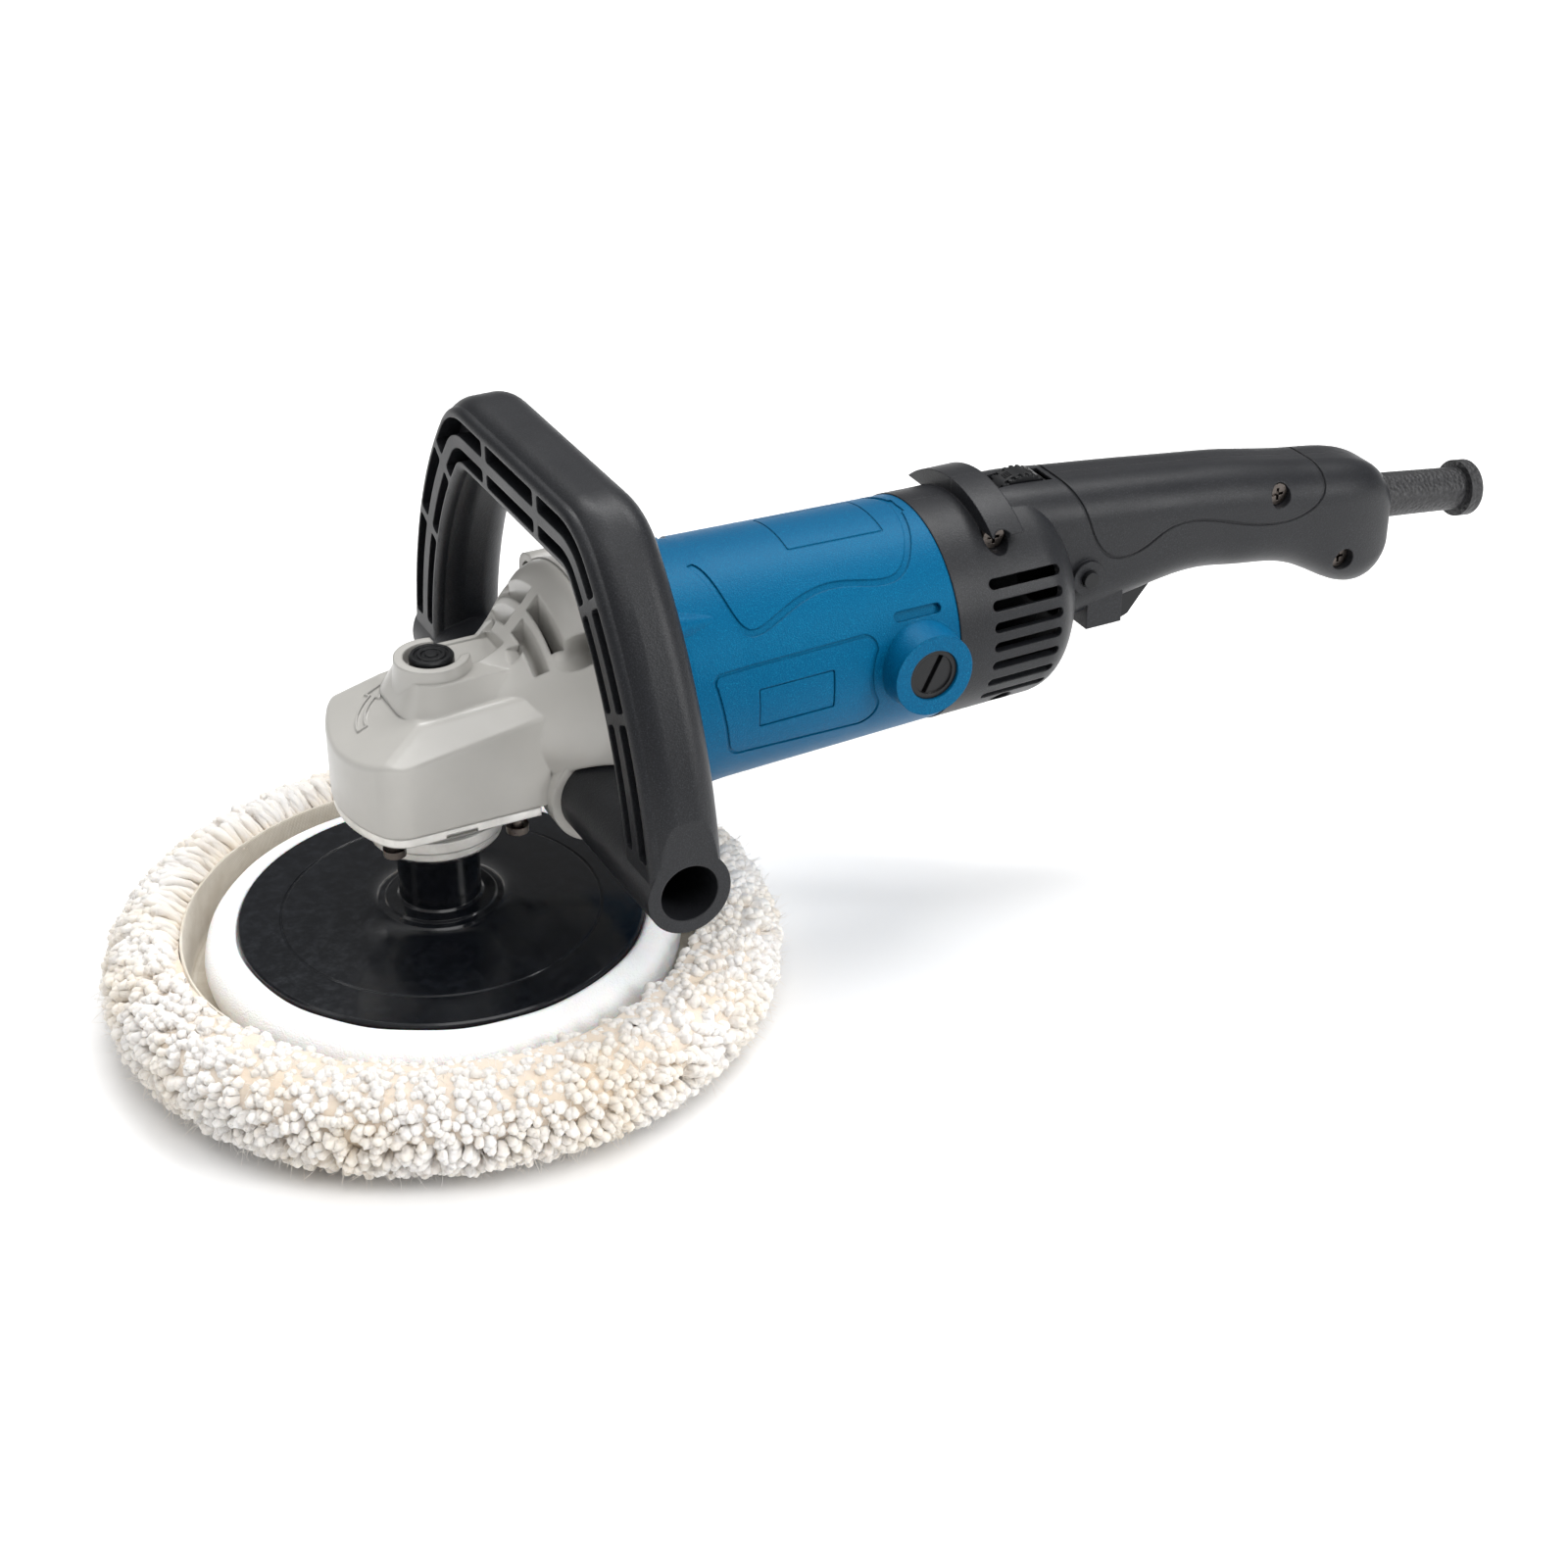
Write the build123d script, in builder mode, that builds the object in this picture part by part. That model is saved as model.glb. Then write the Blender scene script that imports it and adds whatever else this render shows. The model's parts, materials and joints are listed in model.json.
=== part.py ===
from build123d import *
from math import sin, cos, tan, atan, acos, pi, radians, degrees, sqrt, hypot
import os

os.makedirs("parts", exist_ok=True)

# ---- driving dimensions, mm. Z is the spindle axis, z = 0 the face of the wool; the motor lies along +X ----
MZ = 109.0                      # height of the motor axis
IZ = 89.8                       # height of the idler (second) axis, also the bevel apex
WOOL_R, WOOL_FACE_R = 117.5, 105.0
COLLAR_R = 89.5                 # fabric cup of the wool pad
FOAM_R = 82.0
PLATE_R = 70.0
HUB_R = 14.1
SEAM_Z = 84.5                   # parting face of the gear head and its lower cover
HEAD_W = 30.0                   # half width of the gear head
FLANGE_X = 66.0                 # gear head to motor housing
LOBE_C, LOBE_R = 41.0, 8.6      # screw lobes of that flange
BODY_R0, BODY_R1 = 42.8, 40.6   # motor housing, front and rear
REAR_X = 181.0                  # motor housing to handle shells
BRUSH_X = 165.0
TUBE_X, TUBE_Z = 46.5, 86.4     # side tubes of the loop handle
TUBE_R, TUBE_END = 14.4, 103.0
GRIP_Z = 186.2                  # centre line of the loop handle's crown
M1, N1, N2 = 0.8, 10, 38        # spur stage: module, armature pinion, idler gear
M2, N3, N4 = 1.25, 14, 34       # bevel stage: module, pinion, crown
DIAL_X, DIAL_Z, DIAL_R = 226.5, 139.4, 13.0
RUN = 0.05                      # radial running clearance

def save(piece, name):
    piece.part.label = name
    export_step(piece.part, "parts/" + name + ".step")

def yz(x):
    """Sketch plane across the motor axis: local x is +Y, local y is +Z, centred on the motor axis."""
    return Plane(origin=(x, 0, MZ), x_dir=(0, 1, 0), z_dir=(1, 0, 0))

def yz_at(x, y, z):
    return Plane(origin=(x, y, z), x_dir=(0, 1, 0), z_dir=(1, 0, 0))

def side(y):
    """Sketch plane facing -Y: local x is +X, local y is +Z."""
    return Plane(origin=(0, y, 0), x_dir=(1, 0, 0), z_dir=(0, -1, 0))

def rod(x0, x1, r, z=MZ, y=0.0, mode=Mode.ADD):
    """Round bar along X."""
    with BuildSketch(yz_at(x0, y, z)) as disc:
        Circle(r)
    extrude(disc.sketch, amount=x1 - x0, mode=mode)

def post(z0, z1, r, x=0.0, y=0.0, mode=Mode.ADD):
    """Round bar along Z."""
    with BuildSketch(Plane.XY.offset(z0)) as disc:
        with Locations((x, y)):
            Circle(r)
    extrude(disc.sketch, amount=z1 - z0, mode=mode)

def across(y0, y1, r, x, z, mode=Mode.ADD):
    """Round bar along Y."""
    with BuildSketch(side(y0)) as disc:
        with Locations((x, z)):
            Circle(r)
    extrude(disc.sketch, amount=y0 - y1, mode=mode)

def brick(x0, x1, y0, y1, z0, z1, mode=Mode.ADD):
    with BuildSketch(Plane.XY.offset(z0)) as base:
        with Locations(((x0 + x1) / 2, (y0 + y1) / 2)):
            Rectangle(x1 - x0, y1 - y0)
    extrude(base.sketch, amount=z1 - z0, mode=mode)

def spun(points, axis=Axis.Z, plane=Plane.XZ, mode=Mode.ADD):
    """Straight-sided profile turned about an axis."""
    with BuildSketch(plane) as profile:
        with BuildLine():
            Polyline(*points, close=True)
        make_face()
    revolve(profile.sketch, axis=axis, mode=mode)

MOTOR_AXIS = Axis((0, 0, MZ), (1, 0, 0))

def spun_x(points, mode=Mode.ADD):
    """Profile of (x, r) pairs turned about the motor axis."""
    spun([(x, MZ + r) for x, r in points], axis=MOTOR_AXIS, plane=Plane.XZ, mode=mode)

# ---------------------------------------------------------------- pad stack, turned with the spindle
with BuildPart() as wool_pad:
    with BuildSketch(Plane.XZ):
        with BuildLine():
            Polyline((0, 12), (0, 0), (WOOL_FACE_R, 0))
            Spline((WOOL_FACE_R, 0), (114.5, 7), (WOOL_R, 18), (114, 29), (105, 35.5), (96, 36),
                   (COLLAR_R, 33), tangents=((1, 0.15), (-1, -0.8)))
            Polyline((COLLAR_R, 33), (COLLAR_R, 12), (0, 12))
        make_face()
    revolve(axis=Axis.Z)
save(wool_pad, "wool_pad")

with BuildPart() as wool_backing:
    spun([(0, 12), (COLLAR_R, 12), (COLLAR_R, 33.5), (88, 33.5), (88, 13.5), (0, 13.5)])
save(wool_backing, "wool_backing")

with BuildPart() as hook_disc:
    post(13.5, 15.0, 78)
save(hook_disc, "hook_disc")

with BuildPart() as foam_pad:
    with BuildSketch(Plane.XZ):
        with BuildLine():
            Polyline((0, 32), (0, 15), (78, 15))
            ThreePointArc((78, 15), (FOAM_R, 24), (75, 34.5))
            Polyline((75, 34.5), (PLATE_R, 34.5), (PLATE_R, 32), (0, 32))
        make_face()
    revolve(axis=Axis.Z)
save(foam_pad, "foam_pad")

with BuildPart() as backing_plate:
    with BuildSketch(Plane.XZ):
        with BuildLine():
            Polyline((11.2, 32), (PLATE_R - 0.8, 32), (PLATE_R, 33), (PLATE_R, 35), (PLATE_R - 0.7, 35.7),
                     (55.6, 36.3), (55.3, 36.0), (54.8, 36.0), (54.5, 36.4))
            Spline((54.5, 36.4), (38, 37.4), (27, 38.6), (21.5, 41), tangents=((-1, 0.03), (-0.7, 0.8)))
            Polyline((21.5, 41), (19.4, 41.3), (18.8, 42.2), (HUB_R + 0.8, 42.6), (HUB_R, 43.4), (HUB_R, 62.7),
                     (HUB_R - 0.6, 63.3), (11.2, 63.3), (11.2, 32))
        make_face()
    revolve(axis=Axis.Z)
save(backing_plate, "backing_plate")

with BuildPart() as thread_insert:
    with BuildSketch(Plane.XY.offset(34)):
        Circle(11.2)
        Circle(7, mode=Mode.SUBTRACT)
    extrude(amount=15)
    for k in range(5):
        spun([(7, 35.5 + 2 * k), (7.8, 36.5 + 2 * k), (7, 37.5 + 2 * k)], mode=Mode.SUBTRACT)
save(thread_insert, "thread_insert")

# ---------------------------------------------------------------- spindle and crown gear
with BuildPart() as spindle:
    spun([(0, 34), (6.2, 34), (7, 35), (7, 49), (9, 49), (9, 65.4), (8.2, 66.6), (6, 66.6), (6, 78),
          (7.2, 78), (7.2, 79), (6, 79), (5.5, 94), (5.5, 108.4), (4.6, 108.4), (4.6, 109.6), (5.5, 109.6),
          (5.5, 110.6), (5.0, 111), (0, 111)])
    for k in range(5):
        spun([(7.05, 36.6 + 2 * k), (6.3, 37.5 + 2 * k), (7.05, 38.4 + 2 * k)], mode=Mode.SUBTRACT)
save(spindle, "spindle")

def bevel_tooth(n_own, n_other, phase, k0=0.70, k1=1.0):
    """One straight bevel tooth about local +Z from an apex at the origin, as two similar sections.

    The section lies on the back cone and both sections are scaled about the apex, so flanks are flat.
    """
    rp = M2 * n_own / 2
    zp = M2 * n_other / 2
    slope = atan(rp / zp)
    rv = rp / cos(slope)                               # back-cone radius: the equivalent spur wheel
    rb = rv * cos(radians(20))
    tip, root = rv + 0.66 * M2, rv - 1.05 * M2
    half = (pi * M2 / 4 - 0.19) / rv                   # half tooth angle at the pitch circle, less backlash
    inv = lambda r: tan_inv(rb, r)
    wedge = []
    for r in (max(root, rb * 1.0005), tip):
        wedge.append((r, half + inv(rv) - inv(r)))
    if root < rb:
        wedge.insert(0, (root - 0.2, wedge[0][1]))
    faces = []
    for k in (k0, k1):
        outline = []
        for s, seq in ((1, wedge), (-1, list(reversed(wedge)))):
            for r, a in seq:
                u, v = r * sin(s * a), r * cos(s * a)  # u sideways, v outward on the back cone
                rad = rp + (v - rv) * cos(slope)
                high = zp - (v - rv) * sin(slope)
                outline.append(Vector(rad * k, u * k, high * k).rotate(Axis.Z, phase))
        faces.append(Face(Wire.make_polygon(outline, close=True)))
    return Solid.make_loft([f.outer_wire() for f in faces], True)

def tan_inv(rb, r):
    """Involute function of the pressure angle where the involute of base rb reaches r."""
    t = sqrt(max((r / rb) ** 2 - 1, 0))
    return t - atan(t)

with BuildPart() as crown_gear:
    CR = M2 * N4 / 2
    spun([(5.5, 98.6), (10.5, 98.6), (11.5, 95.2), (13.6, 95.9), (CR + 0.4, 98.9 + 1.15), (CR + 1.2, 101.2),
          (CR + 1.2, 106.4), (CR + 0.4, 107.2), (5.5, 107.2)])
    for k in range(N4):
        tooth = bevel_tooth(N4, N3, 360 / N4 * (k + 0.5))
        add(tooth.moved(Location((0, 0, IZ))))
    for k in range(4):                                # sockets for the locking pin
        a = radians(90 * k)
        post(103, 108, 2.6, x=11 * cos(a), y=11 * sin(a), mode=Mode.SUBTRACT)
    post(90, 110, 5.5, mode=Mode.SUBTRACT)
save(crown_gear, "crown_gear")

with BuildPart() as crown_ring:
    with BuildSketch(Plane.XY.offset(108.5)):
        Circle(7.4)
        Circle(4.6, mode=Mode.SUBTRACT)
        with Locations((6, 0)):
            Rectangle(5, 3.4, mode=Mode.SUBTRACT)
    extrude(amount=1.0)
save(crown_ring, "crown_ring")

# ---------------------------------------------------------------- bearings
def bearing_z(z0, z1, ri, ro):
    """Shielded ball bearing about Z."""
    w = (ro - ri) * 0.27
    spun([(ri, z0), (ri + w, z0), (ri + w, z0 + 0.5), (ro - w, z0 + 0.5), (ro - w, z0), (ro, z0),
          (ro, z1), (ro - w, z1), (ro - w, z1 - 0.5), (ri + w, z1 - 0.5), (ri + w, z1), (ri, z1)])

def bearing_x(x0, x1, ri, ro, z):
    w = (ro - ri) * 0.27
    spun([(x0, z + ri), (x0, z + ri + w), (x0 + 0.5, z + ri + w), (x0 + 0.5, z + ro - w), (x0, z + ro - w),
          (x0, z + ro), (x1, z + ro), (x1, z + ro - w), (x1 - 0.5, z + ro - w), (x1 - 0.5, z + ri + w),
          (x1, z + ri + w), (x1, z + ri)], axis=Axis((0, 0, z), (1, 0, 0)))

with BuildPart() as spindle_bearing_lower:
    bearing_z(67.6, 71.6, 6 + RUN, 16)
save(spindle_bearing_lower, "spindle_bearing_lower")
with BuildPart() as spindle_bearing_upper:
    bearing_z(73.2, 77.5, 6 + RUN, 14)
save(spindle_bearing_upper, "spindle_bearing_upper")
with BuildPart() as idler_bearing_front:
    bearing_x(28, 35, 4 + RUN, 11, IZ)
save(idler_bearing_front, "idler_bearing_front")
with BuildPart() as idler_bearing_rear:
    bearing_x(55.4, 60.4, 4 + RUN, 6.2, IZ)
save(idler_bearing_rear, "idler_bearing_rear")
with BuildPart() as armature_bearing_front:
    bearing_x(61.2, 69.2, 4.5 + RUN, 13, MZ)
save(armature_bearing_front, "armature_bearing_front")
with BuildPart() as armature_bearing_rear:
    bearing_x(178, 185, 4 + RUN, 11, MZ)
save(armature_bearing_rear, "armature_bearing_rear")

# ---------------------------------------------------------------- gear head
def head_outline(inset=0.0, rear=27.0):
    """Plan of the gear head: bowed nose, well rounded corners, sides opening slightly towards the rear."""
    w = HEAD_W - inset
    with BuildLine() as plan:
        ThreePointArc((-23.4 + inset, w - 0.6), (-33 + inset, 0), (-23.4 + inset, -w + 0.6))
        Line((-23.4 + inset, -w + 0.6), (rear, -w))
        Line((rear, -w), (rear, w))
        Line((rear, w), (-23.4 + inset, w - 0.6))
    face = make_face(plan.line.edges(), mode=Mode.PRIVATE).face()
    add(face.fillet_2d(12 - inset, [v for v in face.vertices() if v.X < -20]))

box_screws_at = ((-21.2, -18.6), (-21.2, 18.6), (20.5, -23.4), (20.5, 23.4))

lobe_spots = [(LOBE_C * cos(radians(a)), LOBE_C * sin(radians(a))) for a in (45, 135, 240, 300)]

with BuildPart() as head_form:
    with BuildSketch(Plane.XY.offset(SEAM_Z)):
        head_outline(rear=40)
    extrude(amount=45)
    slope = radians(5.0)                              # the roof rises towards the motor
    split(bisect_by=Plane(origin=(-20, 0, 119.0), x_dir=(cos(slope), 0, sin(slope)),
                          z_dir=(-sin(slope), 0, cos(slope))), keep=Keep.BOTTOM)
    nose = radians(28.5)                              # long slope of the nose, shoulders along both sides
    split(bisect_by=Plane(origin=(-33, 0, 107.2), x_dir=(cos(nose), 0, sin(nose)),
                          z_dir=(-sin(nose), 0, cos(nose))), keep=Keep.BOTTOM)
    for s in (-1, 1):
        along, inward = Vector(33.1, 0, 5.3), Vector(0, -10 * s, 8.6)
        normal = along.cross(inward) * s
        split(bisect_by=Plane(origin=(-19.3, 30 * s, 109.6), x_dir=along, z_dir=normal * (1 if normal.Z > 0 else -1)),
              keep=Keep.BOTTOM)
    top = [f for f in faces() if f.normal_at().Z > 0.3]
    inner = [e for e in edges() if sum(any(e.is_same(g) for g in f.edges()) for f in top) == 2]
    fillet([e for e in inner if e.center().X < 39], radius=5)
    walls = [f for f in faces() if abs(f.normal_at().Z) < 0.05 and f.center().X < 39]
    fillet([f.edges().sort_by(Axis.Z)[-1] for f in walls], radius=2.6)
    brick(31, 60, -60, 60, 60, 160, mode=Mode.SUBTRACT)

#        x, half width, half height, axis below the motor axis
NECK = ((-4, 14, 13.5, 4.5), (18, 24.5, 22.5, 1.8), (32, 33, 30, 0.6), (41, 40.5, 40, 0.1), (52, 44.8, 44.7, 0))

with BuildPart() as gear_housing:
    add(head_form.part)
    for x, wide, high, drop in NECK:                  # neck widening to the round flange
        with BuildSketch(yz(x)):
            with Locations((0, -drop)):
                Ellipse(wide, high)
    loft()
    with BuildSketch(yz(50)):
        Circle(45.2)
        with Locations(*lobe_spots):
            Circle(LOBE_R)
    extrude(amount=FLANGE_X - 50)
    for s in (-1, 1):                                 # bosses for the side tubes
        across(s * 24, s * 34.2, 17.5, TUBE_X, TUBE_Z)
        across(s * 34.2, s * 60, TUBE_R + 1.2, TUBE_X, TUBE_Z, mode=Mode.SUBTRACT)
    brick(-60, 27.3, -60, 60, 40, SEAM_Z, mode=Mode.SUBTRACT)
    with BuildSketch(Plane.XY.offset(119)):           # pedestal and guard ring of the locking button
        with Locations((13.5, 0)):
            RectangleRounded(53, 40, 14)
    extrude(amount=10.2, taper=30)
    with BuildSketch(Plane.XY.offset(122)):
        with Locations((3, 0)):
            Circle(13.8)
    extrude(amount=11.2, taper=6)
    with BuildSketch(Plane.XY.offset(128.6)):
        with Locations((3, 0)):
            Circle(9.4)
        with Locations((17, 4)):
            Rectangle(20, 16)
    extrude(amount=8, mode=Mode.SUBTRACT)
    for y, z in lobe_spots:                           # screw pockets scooped out of the neck
        rod(30, 52.5, 5.6, z=MZ + z, y=y, mode=Mode.SUBTRACT)
        rod(50, 67, 2.7, z=MZ + z, y=y, mode=Mode.SUBTRACT)
    # cavities
    post(SEAM_Z - 1, 107.9, 25.2, mode=Mode.SUBTRACT)
    post(107, 111.5, 19, mode=Mode.SUBTRACT)
    with BuildSketch(yz(38)):
        Circle(24)
    with BuildSketch(yz(57)):
        Circle(33)
    loft(mode=Mode.SUBTRACT)
    rod(57, 68, 38.2, mode=Mode.SUBTRACT)
    for s in (-1, 1):
        across(s * 21, s * 32, 8.5, TUBE_X, TUBE_Z)
    rod(36.5, 57, 17.2, z=IZ, mode=Mode.SUBTRACT)
    rod(36.5, 44, 9, mode=Mode.SUBTRACT)
    rod(20, 28, 7.6, z=IZ, mode=Mode.SUBTRACT)
    rod(28, 37, 11, z=IZ, mode=Mode.SUBTRACT)
    post(110, 140, 4.97, x=3, mode=Mode.SUBTRACT)      # button bore
    post(120.5, 140, 7.9, x=3, mode=Mode.SUBTRACT)
    post(111, 118, 13.0, x=3, mode=Mode.SUBTRACT)
    for s in (-1, 1):                                 # threads for the handle bolts
        across(s * 17, s * 36, 4.0, TUBE_X, TUBE_Z, mode=Mode.SUBTRACT)
    # air outlets round the neck: two curved rows, a rib between left and right over the crown
    for x0, x1, a0, a1 in ((36.2, 40.4, 50, 86), (30.2, 34.4, 42, 84)):
        for left in (False, True):
            with BuildSketch(Plane.XZ, mode=Mode.PRIVATE) as gap:
                with Locations(((x0 + x1) / 2, MZ + 36)):
                    RectangleRounded(x1 - x0, 30, 1.4)
            start = 90 - (a1 if left else 180 - a0)
            window = gap.sketch.rotate(MOTOR_AXIS, start)
            revolve(window, axis=MOTOR_AXIS, revolution_arc=a1 - a0, mode=Mode.SUBTRACT)
    for s in (-1, 1):
        a = radians(66)                               # cast thumb pocket, blind
        pocket = Plane(origin=(24.5, s * 24.5 * cos(a), MZ + 24.5 * sin(a)), x_dir=(1, 0, 0),
                       z_dir=(0, s * cos(a), sin(a)))
        with BuildSketch(pocket):
            Ellipse(6.2, 3.4)
        extrude(amount=14, mode=Mode.SUBTRACT)
    # raised outline arrow on the nose: which way the spindle turns
    with BuildSketch(Plane.XY.offset(100)):
        with BuildLine():
            ThreePointArc((-24.5, -1), (-22.0, 6.5), (-15.5, 11.5))
            Polyline((-15.5, 11.5), (-16.3, 13.6), (-10.6, 13.0), (-13.6, 7.0), (-14.4, 9.0))
            ThreePointArc((-14.4, 9.0), (-19.6, 5.0), (-21.6, -1.5))
            Line((-21.6, -1.5), (-24.5, -1))
        trace(line_width=0.6)
    arrow = extrude(amount=26, mode=Mode.PRIVATE)
arrow_lift = head_form.part.moved(Location((-0.25, 0, 0.45)))
gear_housing.part = gear_housing.part + ((arrow & arrow_lift) - head_form.part)
save(gear_housing, "gear_housing")

# ---------------------------------------------------------------- lower cover with the spindle bearings
with BuildPart() as bearing_box:
    with BuildSketch(Plane.XY.offset(SEAM_Z - 0.3)):
        head_outline(0.4)
    extrude(amount=-3.2)
    with BuildSketch(Plane.XY.offset(SEAM_Z - 3.5)):
        head_outline(0.4)
    with BuildSketch(Plane.XY.offset(76.4)):
        with Locations((-0.6, 0)):
            Circle(23.8)
    loft()
    spun([(0, 66.2), (19.6, 66.2), (21.4, 66.8), (22.4, 68.0), (22.4, 70.8), (23.7, 71.5), (23.7, 75.6),
          (23.1, 76.2), (23.1, 80), (0, 80)])
    for x, y in box_screws_at:
        post(60, 76.2, 4.6, x=x, y=y, mode=Mode.SUBTRACT)
        post(60, 90, 2.2, x=x, y=y, mode=Mode.SUBTRACT)
    post(50, 90, 12.5, mode=Mode.SUBTRACT)
    post(67.4, 71.8, 16, mode=Mode.SUBTRACT)
    post(73.2, 90, 14, mode=Mode.SUBTRACT)
    rod(8, 29, 11.0, z=IZ, mode=Mode.SUBTRACT)
    brick(-6.5, 4.5, -40, -HEAD_W + 2.6, 80.6, 82.2, mode=Mode.SUBTRACT)   # drain notch in the seam
save(bearing_box, "bearing_box")

def pan_screw(plane, head_r, shank_r, head_h, length, drive=0.55):
    """Cross-recess screw, head outward along the plane normal."""
    with BuildSketch(plane) as head:
        Circle(head_r)
    cap = extrude(head.sketch, amount=head_h, mode=Mode.PRIVATE)
    with BuildSketch(plane) as shank:
        Circle(shank_r)
    with BuildSketch(plane.offset(head_h)) as cross:
        Rectangle(head_r * 1.15, head_r * 0.26)
        Rectangle(head_r * 0.26, head_r * 1.15)
    body = cap + extrude(shank.sketch, amount=-length, mode=Mode.PRIVATE)
    return body - extrude(cross.sketch, amount=-head_h * drive, mode=Mode.PRIVATE)

def cap_screw(plane, head_r, shank_r, head_h, length):
    """Socket-head screw, head outward along the plane normal."""
    with BuildSketch(plane) as head:
        Circle(head_r)
    with BuildSketch(plane) as shank:
        Circle(shank_r)
    with BuildSketch(plane.offset(head_h)) as hexagon:
        RegularPolygon(head_r * 0.55, 6)
    body = extrude(head.sketch, amount=head_h, mode=Mode.PRIVATE)
    body += extrude(shank.sketch, amount=-length, mode=Mode.PRIVATE)
    return body - extrude(hexagon.sketch, amount=-head_h * 0.6, mode=Mode.PRIVATE)

def ribbon(plane, points, width):
    """Sketch of an even-width curved strip through a few points."""
    n = len(points)
    edges = ([], [])
    for k, (u, v) in enumerate(points):
        (ua, va), (ub, vb) = points[max(k - 1, 0)], points[min(k + 1, n - 1)]
        run = hypot(ub - ua, vb - va)
        nu, nv = -(vb - va) / run * width / 2, (ub - ua) / run * width / 2
        edges[0].append((u + nu, v + nv))
        edges[1].append((u - nu, v - nv))
    with BuildSketch(plane) as strip:
        with BuildLine():
            Spline(*edges[0])
            Line(edges[0][-1], edges[1][-1])
            Spline(*reversed(edges[1]))
            Line(edges[1][0], edges[0][0])
        make_face()
    return strip.sketch

def facing(x, y, z, direction):
    return Plane(origin=(x, y, z), z_dir=direction)

with BuildPart() as bearing_box_screws:
    for x, y in box_screws_at:
        add(pan_screw(facing(x, y, 76.2, (0, 0, -1)), 3.9, 2.15, 2.6, 7.8))
save(bearing_box_screws, "bearing_box_screws")

# ---------------------------------------------------------------- spindle lock
with BuildPart() as spindle_lock_button:
    spun([(0, 130.2), (0, 117.4), (4.9, 117.4), (4.9, 130.2), (7.5, 130.2), (7.5, 133.2), (6.9, 133.9),
          (5.9, 133.9), (5.7, 133.4), (4.9, 133.4), (4.7, 133.9), (3.6, 133.9), (3.4, 133.3), (2.2, 133.3),
          (2.0, 133.9), (0, 133.9)])
lock_axis = Location((3, 0, 0))
spindle_lock_button.part = spindle_lock_button.part.moved(lock_axis)
save(spindle_lock_button, "spindle_lock_button")

with BuildPart() as spindle_lock_pin:
    post(115.0, 117.4, 11.5, x=3)
    post(111.6, 117.4, 2.1, x=11)
save(spindle_lock_pin, "spindle_lock_pin")

def coil_spring(base, radius, wire, height, turns, direction=(0, 0, 1)):
    """Helical wire spring standing on base along a direction, ends left as cut."""
    with BuildPart() as spring:
        with BuildLine() as coil:
            Helix(pitch=height / turns, height=height, radius=radius)
        with BuildSketch(Plane(origin=coil.line @ 0, z_dir=coil.line % 0)) as dot:
            Circle(wire)
        sweep(dot.sketch, path=coil.line, is_frenet=True)
    return Plane(origin=base, z_dir=direction) * spring.part

# ---------------------------------------------------------------- idler shaft: bevel pinion, gear
with BuildPart() as idler_shaft:
    PR = M2 * N3 / 2
    spun([(13.2, IZ), (13.2, IZ + 4.0), (PR / tan(atan(N3 / N4)) - 0.6, IZ + PR - 1.55), (21.6, IZ + 6.9),
          (22.6, IZ + 6.9), (22.6, IZ + 6.6), (27.6, IZ + 6.6), (27.6, IZ + 5), (28, IZ + 4), (60.2, IZ + 4),
          (60.6, IZ + 3.6), (60.6, IZ)], axis=Axis((0, 0, IZ), (1, 0, 0)))
    for k in range(N3):
        tooth = bevel_tooth(N3, N4, 360 / N3 * k)
        # local +Z becomes +X, local +X becomes +Z
        add(tooth.rotate(Axis.Y, 90).rotate(Axis.X, 180).moved(Location((0, 0, IZ))))
save(idler_shaft, "idler_shaft")

def spur_outline(module, count, shift, phase, backlash=0.10, addendum=1.0, dedendum=1.12):
    """Closed outline of a spur wheel: involute flanks from the formula, flat tips and root chords."""
    rp = module * count / 2
    rb = rp * cos(radians(20))
    tip = rp + module * (addendum + shift)
    root = rp - module * (dedendum - shift)
    half = (pi * module / 4 + shift * module * tan(radians(20)) - backlash / 2) / rp
    start = max(root, rb * 1.0005)
    radii = [start + (tip - start) * k / 3 for k in range(4)]
    flank = [(r, half + tan_inv(rb, rp) - tan_inv(rb, r)) for r in radii]
    if root < start:
        flank.insert(0, (root, flank[0][1]))
    points = []
    for k in range(count):
        c = radians(phase + 360 / count * k)
        points += [(r * cos(c - a), r * sin(c - a)) for r, a in flank]
        points += [(r * cos(c + a), r * sin(c + a)) for r, a in reversed(flank)]
    return points

def gear_disc(plane, outline, bore, width):
    with BuildSketch(plane) as teeth:
        with BuildLine():
            Polyline(*outline, close=True)
        make_face()
        if bore:
            Circle(bore, mode=Mode.SUBTRACT)
    return extrude(teeth.sketch, amount=width, mode=Mode.PRIVATE)

with BuildPart() as idler_gear:
    add(gear_disc(yz_at(44, 0, IZ), spur_outline(M1, N2, -0.35, 90 + 180 / N2, addendum=0.85), 4, 9))
    for x, w in ((44, 1.6), (51.4, 1.6)):
        with BuildSketch(yz_at(x, 0, IZ)):
            Circle(12.2)
            Circle(6.6, mode=Mode.SUBTRACT)
        extrude(amount=w, mode=Mode.SUBTRACT)
save(idler_gear, "idler_gear")

# ---------------------------------------------------------------- armature
with BuildPart() as armature_shaft:
    add(gear_disc(yz_at(43, 0, MZ), spur_outline(M1, N1, 0.35, -90, addendum=0.75), 0, 11.4))
    spun_x([(54.4, 0), (54.4, 3.2), (56, 4.5), (69.4, 4.5), (69.4, 5.4), (70.4, 5.4), (70.4, 5), (176, 5),
            (177.6, 5), (177.6, 4), (186.4, 4), (187, 3.4), (187, 0)])
save(armature_shaft, "armature_shaft")

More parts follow.
